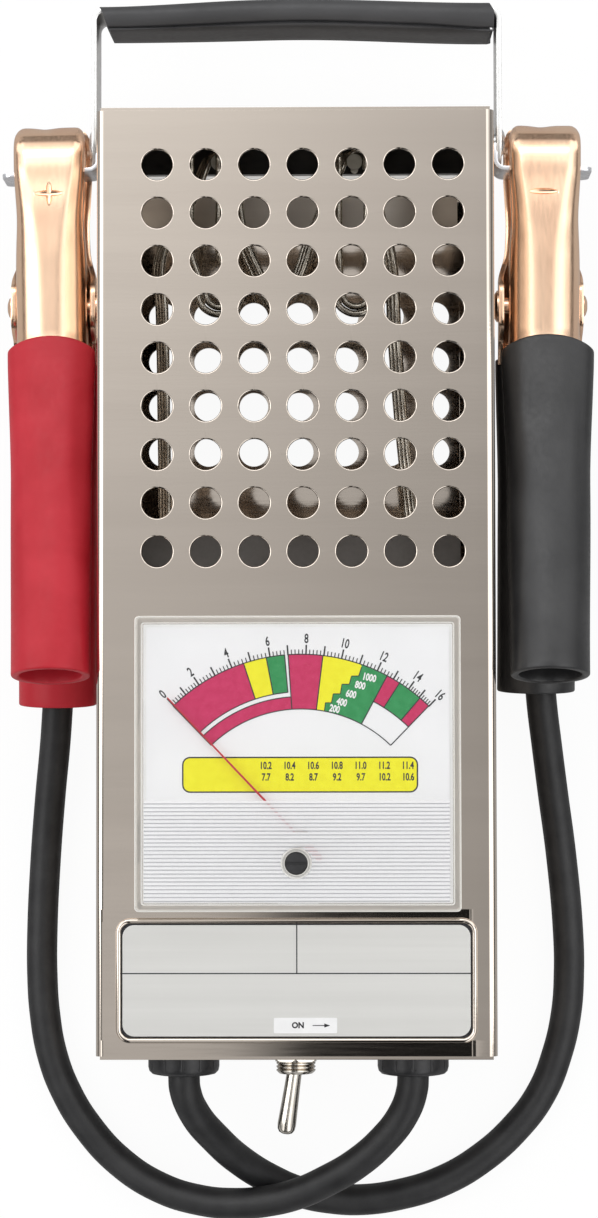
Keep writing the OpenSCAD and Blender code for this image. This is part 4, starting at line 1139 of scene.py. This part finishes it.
# %% [markdown]
# ## The handle
# The handle is a flat steel strap bent round a rubber grip. Bars joined at the corners would
# show a seam, so the strap is one line dragged through its width. Its two ends are rounded off
# round the pivots.

# %% Strap
strap_line = [(-56.85, 118), *arc((-54.35, 160.8), 2.5, 180, 90, 8),
              *arc((54.35, 160.8), 2.5, 90, 0, 8), (56.85, 118)]
strap = sheet_along("carry_strap", [(x, y, 25) for x, y in strap_line], (0, 0, 18), 1.5)
pick(strap, "EDGE", lambda e: all(v.co.y < 118.1 * MM for v in e.verts)
     and abs(e.verts[0].co.x - e.verts[1].co.x) > 1 * MM)
bpy.ops.mesh.bevel(offset=8.9 * MM, segments=10)
only(strap)
softened(strap, 0.3, 2, 50)
strap_steel = finish("strap_steel", (0.72, 0.72, 0.71), (0.82, 0.82, 0.81), (0.3, 0.42),
                     metallic=0.85, stretch=(1, 1, 0.2), scale=120, bump=0.06)
finished(strap, strap_steel, "handle", ["handle_strap"])

# %% [markdown]
# The grip is a rubber sleeve, split along its front so that it can be pushed over the strap.
# Its section is a rounded oval with a lip on each side of the split. A straight extrusion would
# look machined. The section is wrapped along a grid instead, so the sleeve bows a little along
# its length, its split wanders, and its ends are cut at a slant.

# %% Grip
UPPER_LIP = [(-2.5, 8.9), (-2.8, 9.8), (-2.3, 10.4), (0.6, 11.5), (2.6, 11.3), (4.6, 9.8),
             (5.4, 7.6), (5.5, 3.5), (5.5, -3.5), (5.4, -7.6), (4.4, -9.9), (2.4, -11.1),
             (0, -11.4), (-2.4, -11.1), (-4.4, -9.9), (-5.4, -7.6), (-5.5, -3.5), (-5.5, 3.5)]
LOWER_LIP = [(-5.5, 7.0), (-5.3, 9.0), (-4.8, 10.0), (-4.0, 10.2), (-3.4, 9.7), (-3.1, 8.6)]
CAVITY = [(-1.0, 8.5), (-1.0, -9.1), (1.0, -9.1), (1.0, 8.8)]
grip_section = UPPER_LIP + LOWER_LIP + CAVITY
LAST_OUTER = len(UPPER_LIP) + len(LOWER_LIP)
SPLIT = (0, 1, 2, LAST_OUTER - 1, LAST_OUTER - 2, LAST_OUTER - 3)
GRIP_Y, SHORT_END = 162.5, 54.9


def between(points, x, soft=True):
    """Read a value off a short table of (place, value) pairs, easing from one to the next."""
    if x <= points[0][0]:
        return points[0][1]
    for (x0, y0), (x1, y1) in zip(points, points[1:]):
        if x <= x1:
            t = (x - x0) / (x1 - x0)
            if soft:
                t = t * t * (3 - 2 * t)
            return y0 + (y1 - y0) * t
    return points[-1][1]


def grip_place(u, v):
    index = round(u * len(grip_section)) % len(grip_section)
    y, z = grip_section[index]
    left_end = -56.2 + 3.3 * (5.5 - y) / 11
    right_end = between([(-5.5, 56.0), (0.5, 56.3), (5.5, SHORT_END)], y)
    if y < 0 and abs(z) < 9.3:
        right_end = SHORT_END
    x = left_end + (right_end - left_end) * v
    bow = between([(0, -1.0), (0.5, 0.3), (1, -1.1)], v)
    if index < LAST_OUTER:
        y *= between([(0, 0.66), (0.4, 0.78), (1, 0.8)], v)
    if index in SPLIT:
        y += between([(0, -0.9), (0.5, -0.2), (0.8, -0.3), (1, -1.1)], v)
    return x, GRIP_Y + y + (bow if index < LAST_OUTER else 0), MID_Z + z


grip = wrapped("grip_sleeve", len(grip_section), 48, grip_place)
outward(grip)
for end in SIDES:
    pick(grip, "EDGE", lambda e: e.is_boundary and e.verts[0].co.x * end > 40 * MM)
    bpy.ops.mesh.edge_face_add()
outward(grip)
finished(grip, grip_rubber, "handle", ["handle_grip"], angle=50)

# %% [markdown]
# The strap swings on two domed rivets, which are turned like the screws. Their heads are left
# round and plain, because a rivet has no slot.

# %% Pivot rivets
RIVET_HEAD = [(0, 1.3), (1.6, 1.25), (2.9, 0.95), (3.8, 0.4), (4.0, 0), (2.5, 0), (2.5, -4.3),
              (2.9, -4.3), (2.9, -5.4), (0, -5.4)]
pattern = turned("rivet_pattern", RIVET_HEAD, steps=36)
rivets = joined([copied(pattern, "rivet", (side * 58.4, PIVOT_Y, MID_Z), OUT_OF_SIDE[side])
                 for side in SIDES], "strap_rivets")
bpy.data.objects.remove(pattern, do_unlink=True)
finished(rivets, zinc, "housing", ["handle_rivets"])

# %% [markdown]
# Under each rivet sits a thin tab, bent outwards, on which a clamp is parked. It is bent from a
# line like the other sheets, with a disc joined to it where the rivet goes through. The left
# tab droops more than the right one.

# %% Hook tabs
tab_silver = finish("tab_silver", (0.70, 0.71, 0.74), (0.80, 0.81, 0.84), (0.25, 0.38),
                    metallic=0.85, scale=120, bump=0.05)
for side, name, droop in ((-1, "left", 1.6), (1, "right", 0.3)):
    bend = arc((59.3, 121.0), 2.1, 180, 265, 6)
    line = [(57.2, 125.5), *bend, (84, 118.9 - droop)]
    tab = sheet_along(f"hook_tab_{name}", [(side * x, y, 26) for x, y in line], (0, 0, 16),
                      -1.2 * side)
    cut(tab, rod("tab_boss", 4.6, (side * 57.2, PIVOT_Y, MID_Z), (side * 58.4, PIVOT_Y, MID_Z),
                 40), "UNION")
    pick(tab, "EDGE", lambda e: all(abs(v.co.x) > 83.9 * MM for v in e.verts)
         and abs(e.verts[0].co.y - e.verts[1].co.y) > 1 * MM)
    bpy.ops.mesh.bevel(offset=2.5 * MM, segments=5)
    only(tab)
    softened(tab, 0.2, 2, 50)
    finished(tab, tab_silver, "housing", [f"clip_tab_{name}"])

# %% [markdown]
# ## The clamps
# Each clamp is two stamped copper-plated halves on one rivet. A half is a channel, open
# towards the other half. It could be carved from a block, but stamped sheet has one thickness
# all over, so one grid is wrapped over its outer surface and then thickened: across, it climbs
# one wall, rounds the shoulder, crosses the flat face and comes down the other side; along,
# it narrows at the waist and rolls down to the tip. Short tables give the sizes along it.

# %% Tables for the jaws
JAW_TOP = [(-16, 14.4), (-9, 13.6), (12, 13.4), (24, 13.0), (37, 12.0), (42, 11.5), (44.7, 10.4),
           (47, 8.6), (49, 6.0), (50, 3.8)]
FLAT = [(-2, 1.7), (11.7, 2.0), (20.4, 2.9), (29, 4.3), (37.6, 6.0), (45, 6.6), (50, 6.6)]
JAW_ROWS = [-16, -12, -9, -8, -6.5, -5, -2.5, 0, 2.5, 5, 6.5, 8, 10, 12, 14, 16.5, 19, 22, 25, 28,
            31, 34, 36, 38, 40, 42, 43.5, 45, 46.2, 47.2, 48, 48.8, 49.4, 50]
JAW_COLUMNS = 34


def jaw_rim(mouth):
    """Height of the lower rim along a jaw, with the mouth's own height near the tip."""
    return [(-16, 6.0), (-9, 3.0), (-8, -1.0), (-5, -5.0), (5, -5.0), (8, -1.5), (12, 2.6),
            (20, 5.6), (28, 7.6), (34, mouth), (44, mouth), (46.5, 5.6), (48.3, 2.4), (50, 1.6)]


def jaw_width(hinge):
    """Half of the width along a jaw, which is widest at the hinge."""
    return [(-16, hinge), (8.5, hinge), (15, 9.9), (24, 9.4), (36, 10.1), (46.5, 10.1),
            (48.5, 9.6), (49.5, 8.9), (50, 8.2)]


print("rows and columns of a jaw:", len(JAW_ROWS), JAW_COLUMNS)

# %% [markdown]
# A jaw's section has three parts on each side of its middle: a quarter of the columns cross the
# flat face, about half round the shoulder, and the rest run down the wall. The tip has a small
# dip in its edge, and the part in front of the hinge is stretched a little.

# %% Surface of a jaw
CLAMP_X, CLAMP_Y = 69.6, 79.8
FACE_SHARE, SHOULDER_END, STRETCH, JAW_SHEET = 0.25, 0.8, 1.026, 1.4


def at_hinge(piece, side, lean, shift=0):
    """Turn a piece of a clamp by its lean and move it from the origin to its hinge."""
    piece.rotation_euler.z = math.radians(lean)
    piece.location = Vector((side * CLAMP_X + shift, CLAMP_Y, MID_Z)) * MM
    return applied(piece)


def jaw_place(hinge, mouth):
    def place(u, v):
        y = JAW_ROWS[round(v * (len(JAW_ROWS) - 1))]
        top, half = between(JAW_TOP, y), between(jaw_width(hinge), y, soft=False)
        low = min(between(jaw_rim(mouth), y, soft=False), top - 0.3)
        round_x = half - between(FLAT, y, soft=False)
        round_z = min(top - low, round_x * 0.85)
        across = u * 2 - 1
        side_of, amount = (1 if across > 0 else -1), abs(across)
        if amount < FACE_SHARE:
            x, z = (half - round_x) * amount / FACE_SHARE, top
        elif amount < SHOULDER_END:
            turn = (amount - FACE_SHARE) / (SHOULDER_END - FACE_SHARE) * math.pi / 2
            x = half - round_x + round_x * math.sin(turn)
            z = top - round_z + round_z * math.cos(turn)
        else:
            down = (amount - SHOULDER_END) / (1 - SHOULDER_END)
            x, z = half, top - round_z + (low - top + round_z) * down
        dip = 0.5 * math.exp(-((x * side_of + 1.2) / 2.6) ** 2) * max(0, (y - 48) / 2)
        return x * side_of, (y - dip) * (STRETCH if y > 0 else 1), z
    return place


print("middle of a jaw at the tip in mm:", jaw_place(10.1, 8.1)(0.5, 1))

# %% [markdown]
# The grid is refined once, thickened inwards like a sheet, and its cut edges are softened. The
# rear half is the same shape, mirrored. A mirrored mesh is inside out, so its faces are
# flipped before it gets its thickness.

# %% One half of a clamp
def jaw_half(name, hinge, mouth, side, lean, rear=False, shift=0):
    half = wrapped(name, JAW_COLUMNS, len(JAW_ROWS) - 1, jaw_place(hinge, mouth))
    modified(half, "SUBSURF", levels=1, render_levels=1)
    if rear:
        half.scale.z = -1
        applied(half)
        pick(half, "FACE", lambda f: True)
        bpy.ops.mesh.flip_normals()
        only(half)
    modified(half, "SOLIDIFY", thickness=JAW_SHEET * MM, offset=-1, use_quality_normals=True)
    outward(half)
    softened(half, 0.15, 2, 60)
    return at_hinge(half, side, lean, shift)


print("thickness of the sheet in mm:", JAW_SHEET)

# %% [markdown]
# The jaws' faces carry a stamped mark: a plus on the left one, a minus on the right one. A real
# stamp presses the metal in. A long flat ball, cut out of the face, leaves the same tapered
# groove, which a box would leave square.

# %% Grooves
def groove(length, turn, side, lean, width=1.9, depth=0.9):
    """A long rounded cutter that presses a tapered groove into the jaw's face."""
    bpy.ops.mesh.primitive_uv_sphere_add(segments=32, ring_count=16, radius=1)
    cutter = bpy.context.active_object
    cutter.scale = (length / 2 * MM, width / 2 * MM, depth * MM)
    cutter.rotation_euler = (0, 0, math.radians(turn))
    cutter = named("groove_cutter")
    cutter.location = Vector((0, 31, 12.75)) * MM
    cutter.rotation_euler.x = math.radians(-4)
    return at_hinge(applied(cutter), side, lean)


print("hinge of the right clamp in mm:", (CLAMP_X, CLAMP_Y, MID_Z))

# %% [markdown]
# Both clamps are made in one loop. They differ in their lean, in a small shift of their front
# half, and in their mark. The rivet that holds the halves together has a head on the outside
# and a peened end on the inside.

# %% Two clamps
CLAMPS = ((-1, "left", 0.9, -0.2), (1, "right", -0.5, 0.7))
CLAMP_RIVET = [(0, 13.4), (1.4, 13.3), (2.6, 12.9), (3.2, 12.3), (3.2, 11.9), (2.5, 11.9),
               (2.5, -12), (4.5, -12), (4.5, -12.5), (3.6, -13.1), (0, -13.2)]
pattern = turned("clamp_rivet_pattern", CLAMP_RIVET, steps=40)
for side, name, lean, shift in CLAMPS:
    front = jaw_half(f"{name}_front_jaw", 10.1, 8.1, side, lean, shift=shift)
    cut(front, groove(8.8, 0, side, lean))
    if side < 0:
        cut(front, groove(7.4, 90, side, lean))
    finished(front, copper_plate, f"{name}_clamp_front",
             [f"clamp_{name}_front_jaw"], 40)
    rear = jaw_half(f"{name}_rear_jaw", 12, 8.0, side, 0, rear=True)
    finished(rear, copper_plate, "housing", [f"clamp_{name}_rear_jaw"], 40)
    pin = copied(pattern, f"{name}_clamp_rivet_pin", (side * CLAMP_X, CLAMP_Y, MID_Z),
                 OUT_OF_SIDE[side])
    finished(pin, copper_plate, "housing", [f"clamp_{name}_rivet"])
bpy.data.objects.remove(pattern, do_unlink=True)

# %% [markdown]
# The handles wear rubber sleeves. A sleeve's mouth is a rounded oblong that hugs the jaw, and
# over its length it turns into a round tube. A lofted surface between the two would need a
# section at each end only, but the real sleeve has a waist and, on the front ones, soft thumb
# dents. One formula for the section, with its squareness read off a table, gives them all.

# %% Shape of a sleeve
MOUTH, SOCKET = 12.45, 11.0


def sleeve_place(length, dents, mouth, end):
    def place(u, v):
        half_x = between([(0, mouth), (0.45, (mouth + end) / 2 - 0.4), (1, end)], v)
        half_z = between([(0, 6.6), (0.45, 8.7), (1, 11.0)], v)
        square = between([(0, 2.7), (0.45, 2.15), (1, 2.0)], v)
        turn = u * math.tau
        c, s = math.cos(turn), math.sin(turn)
        x = half_x * math.copysign(abs(c) ** (2 / square), c)
        z = half_z * math.copysign(abs(s) ** (2 / square), s)
        y = -length * v - 3.0 * (x / MOUTH) ** 2 * max(0, 1 - v / 0.12)
        for x0, v0, wide, long, deep in dents:
            if s > 0:
                z -= deep * math.exp(-((x - x0) / wide) ** 2 - ((v - v0) / long) ** 2)
        return x, y, z
    return place


print("corner of a sleeve's mouth in mm:", sleeve_place(100, [], MOUTH, SOCKET)(0, 0))

# %% [markdown]
# The grid's tube is open at both ends. Solidify gives it a wall of 2.3 mm, the rims are rounded,
# and the sleeve is tilted along its half of the clamp. The front sleeves ride on the halves that
# open, the rear ones on the housing.

# %% Sleeves
THUMB_DENTS = [(-3.5, 0.23, 3.4, 0.06, 0.45), (1.5, 0.335, 4.6, 0.08, 0.5),
               (8.8, 0.36, 2.0, 0.2, 0.6)]
SLEEVES = (  # side, half, length, mouth, end, tilt, lean, shift
    (-1, "front", 96.9, MOUTH, SOCKET, -11, 0.9, 0),
    (-1, "rear", 102.8, MOUTH, 11.3, 6, -0.35, 0),
    (1, "front", 96.9, 13.1, SOCKET, -11, -0.5, 1.4),
    (1, "rear", 99.0, MOUTH, 11.3, 6, -0.35, 0))
for side, half, length, mouth, end, tilt, lean, shift in SLEEVES:
    name, rubber, slot = {-1: ("left", red_sleeve, "red_rubber"),
                          1: ("right", black_sleeve, "black_rubber")}[side]
    is_front = half == "front"
    sleeve = wrapped(f"{name}_{half}_sleeve", 56, 48,
                     sleeve_place(length, THUMB_DENTS if is_front else [], mouth, end))
    outward(sleeve)
    modified(sleeve, "SOLIDIFY", thickness=2.3 * MM, offset=-1)
    outward(sleeve)
    softened(sleeve, 0.5, 3, 60)
    sleeve.rotation_euler.x = math.radians(tilt)
    sleeve.location = Vector((0, -11.2, 10.2 if is_front else -10.2)) * MM
    at_hinge(applied(sleeve), side, lean, shift)
    finished(sleeve, rubber, f"{name}_clamp_front" if is_front else "housing",
             [f"clamp_{name}_{half}_sleeve"], 45)

# %% [markdown]
# ## Switch and glands
# The toggle's bushing shows a few turns of thread below a hexagon nut. A thread could be a
# helix, but at this size plain rings look the same and are a simple profile to spin.

# %% Bushing and nut
thread = [(3.6, 0), (5.6, 0), (5.6, 4.7)]
for turn in range(3):
    thread += [(5.05, 5.1 + turn), (5.55, 5.35 + turn), (5.55, 5.6 + turn)]
bushing = turned("switch_bushing", thread + [(5.0, 8.15), (4.7, 8.4), (3.9, 8.4), (3.6, 8.1),
                                             (3.6, 0)], (SWITCH_X, -130, MID_Z), OUT_OF_END)
finished(bushing, bright_nickel, "housing", ["toggle_bushing"], 25)
bpy.ops.mesh.primitive_cylinder_add(vertices=6, radius=6.7 * MM, depth=3.9 * MM,
                                    location=Vector((SWITCH_X, -132.95, MID_Z)) * MM,
                                    rotation=(math.pi / 2, 0, 0))
nut = named("switch_nut")
cut(nut, turned("nut_round", [(0, 0), (6.7, 0), (6.7, 2.9), (6.1, 3.9), (0, 3.9)],
                (SWITCH_X, -131, MID_Z), OUT_OF_END), "INTERSECT")
hole(nut, 5.6, (SWITCH_X, -130, MID_Z), (SWITCH_X, -136, MID_Z), 40)
softened(nut, 0.15, 2, 25)
finished(nut, bright_nickel, "housing", ["toggle_nut"])

# %% [markdown]
# The bright lever swells towards a rounded tip and leans a little to the left at rest. It is
# turned upright at the origin first, where its profile is easy to read, and laid over last.

# %% Lever
LEVER_Y, LEVER_LEAN = -135, -8.4
lever = turned("switch_lever", [(0, -18), (1.3, -18), (1.3, -3), (2.2, -2.4), (3.2, -0.8),
                                (3.3, 0), (3.0, 1.4), (2.1, 2.4), (2.25, 8), (2.55, 16),
                                (2.62, 18), (2.45, 19.4), (1.9, 20.3), (1.0, 20.7), (0, 20.8)])
lever.rotation_euler = (math.pi / 2, 0, 0)
applied(lever)
lever.rotation_euler.z = math.radians(LEVER_LEAN)
lever.location = Vector((SWITCH_X, LEVER_Y, MID_Z)) * MM
finished(lever, bright_nickel, "toggle", ["toggle_lever"], 40)

# %% [markdown]
# Each lead leaves the box through a rubber gland with a rounded collar. The collar has twelve
# notches that give it a hold. They are cut with thin rods, because a gear-shaped profile could
# not be spun. The right gland is a copy of the left one.

# %% Glands
GLAND = [(4.5, 8), (7.1, 8), (7.1, 0.0), (10.1, 0.0), (10.1, -5.4), (9.8, -6.6), (9.0, -7.4),
         (7.6, -7.7), (5.4, -7.7), (4.75, -7.3), (4.6, -6.0), (4.5, 8)]
NOTCHES, NOTCH_RING = 12, 10.35
left_gland = turned("left_gland", [(r, -h) for r, h in GLAND], (-GLAND_X, -131, MID_Z),
                    OUT_OF_END, 60)
for k in range(NOTCHES):
    turn = math.tau * k / NOTCHES
    x, z = -GLAND_X + NOTCH_RING * math.sin(turn), MID_Z + NOTCH_RING * math.cos(turn)
    hole(left_gland, 0.5, (x, -133.0, z), (x, -140, z), 16)
right_gland = copied(left_gland, "right_gland", (2 * GLAND_X, 0, 0))
for gland, name in ((left_gland, "left"), (right_gland, "right")):
    finished(gland, gland_rubber, "housing", [f"gland_{name}"], 40)

# %% [markdown]
# ## The load wires
# Behind the vents a bent rail carries the load board. Its foot is a sheet bent from a line. Its
# lip is a slab pushed out from a stepped outline, which keeps the step crisp. The lip's edge
# is painted near white and glows faintly: a painted highlight for the light that its bright
# bare metal catches.

# %% Rail
rail_steel = finish("rail_steel", (0.62, 0.56, 0.50), (0.70, 0.64, 0.57), (0.3, 0.4), metallic=1,
                    stretch=(0.1, 1, 1), scale=120, bump=0.05)
# painted highlight: a near-white colour and a faint glow on the rail's lip
rail_edge_highlight = finish("rail_edge_highlight", (0.90, 0.89, 0.87), (0.95, 0.94, 0.92), (0.35, 0.5),
                   stretch=(0.1, 1, 1), scale=200, bump=0.05,
                   shader_values=(("Emission Color", (1, 0.98, 0.95, 1)),
                                  ("Emission Strength", 0.5)))
rail = sheet_along("board_rail_foot", [(-47, 105.5, 2), (-47, 125.0, 2), (-47, 126, 3),
                                       (-47, 126, 17.6)], (94, 0, 0), 0.95)
softened(rail, 0.15, 2)
finished(rail, rail_steel, "housing", ["board_rail"])
lip = slab("board_rail_lip", [(-50, 118.8, 17), (-50, 126, 17), (-50, 126, 18),
                              (-50, 119.8, 18), (-50, 119.8, 21), (-50, 118.8, 21)], (100, 0, 0))
softened(lip, 0.15, 2)
finished(lip, rail_edge_highlight, "housing", ["board_rail"])

# %% [markdown]
# Thick bare wires behind the vents glow when the tester is used. Three of them run side by side
# along one path, up, across and down again. They are curves like the leads, with a coarser
# division as they are seen through holes. The first is turned into a mesh, and the three are
# copies of it that are joined.

# %% Load wires
WIRE_D = 2


def wire(points):
    strand = smooth_tube("strand", points, WIRE_D, 6, 3)
    only(strand)
    bpy.ops.object.convert(target="MESH")
    return bpy.context.active_object


main_path = [
    (-38, 12, 30), (-38, 16, 30), (-38.4, 45, 30), (-39, 80, 30), (-39.6, 94, 30),
    (-34, 106, 30), (-29.5, 113, 30), (-27.4, 119.5, 30), (-25, 123.8, 30), (-22.5, 125, 30),
    (-20, 123.8, 30), (-17.8, 119.5, 30), (-17.4, 110, 30), (-15.4, 99, 30), (-11.6, 90, 30),
    (-8.6, 83.6, 30), (-5.7, 80.6, 30), (-2.8, 83.6, 30), (0.4, 90, 30), (3.4, 99, 30),
    (7.5, 109, 30), (11.6, 119.5, 30), (14, 123.8, 30), (16.5, 125, 30), (19, 123.8, 30),
    (21.4, 119.5, 30), (23, 108, 30), (26.4, 95, 30), (28, 70, 30), (30, 45, 30),
    (32.6, 20, 30), (33, 16, 30), (33, 12, 30),
]
pattern = wire(main_path)
strands = [copied(pattern, "strand", (k, 0, 2.4 * k)) for k in (-1, 0, 1)]
bpy.data.objects.remove(pattern, do_unlink=True)
finished(joined(strands, "load_strands"), hot_wire, "housing", ["load_wires"], 60)

# %% [markdown]
# Two pairs of hairpins fill the space between. A hairpin is a leg that comes up from the board, a
# bow of half a turn, and the same leg backwards, so the function writes one leg and one bow.
# The second of each pair is a little wider and lies above the first.

# %% Hairpins
def hairpin(x, z, half, low, lean):
    leg = [(127.6, 21), (127.6, 27), (127.2, z - 3), (124.4, z + 0.8), (118.4, z), (108, z),
           (95, z)]
    bow = arc((x + lean, low + half), half, 180, 360, 6)
    return ([(x - half, y, h) for y, h in leg] + [(bow_x, bow_y, z) for bow_x, bow_y in bow]
            + [(x + half, y, h) for y, h in leg[::-1]])


for x, name, lean in ((-26.3, "left", 4.2), (16, "right", 0.9)):
    pair = [wire(hairpin(x, 36 + 2.6 * k, 4 + 2.3 * k, 79.6 - 2.4 * k, lean)) for k in (0, 1)]
    finished(joined(pair, f"hairpins_{name}"), hot_wire, "housing",
             [f"hairpin_wires_{name}"], 60)

# %% [markdown]
# ## Pieces that keep their solid shape
# The parts inside the box, the springs and the pointer already have the right shape. They could
# be modelled again, but are hardly seen, so they only get their finish.

# %% Finish the carried-over nodes
carried = {
    inner_steel: ["heat_shield"],
    zinc: ["terminal_screws"],
    ceramic: ["wire_hangers"],
    phenolic: ["load_board", "terminal_block", "toggle_body"],
    brass: ["terminal_left", "terminal_right", "contact_bridge", "switch_studs",
            "hairspring", "meter_studs"],
    lead_rubber: ["inner_lead_left", "inner_lead_right", "jumper_lead", "gland_nuts"],
    wire_red: ["meter_wires"],
    magnet_iron: ["magnet_ring", "core_post"],
    copper_wire: ["moving_coil"],
    meter_white: ["meter_case", "pointer_bridge"],
    spring_steel: ["clamp_left_spring", "clamp_right_spring"],
    red_sleeve: ["pointer"],
}
for material, names in carried.items():
    for name in names:
        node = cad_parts[name]
        node.data.materials.clear()
        node.data.materials.append(material)
print("carried-over nodes:", sum(len(names) for names in carried.values()))
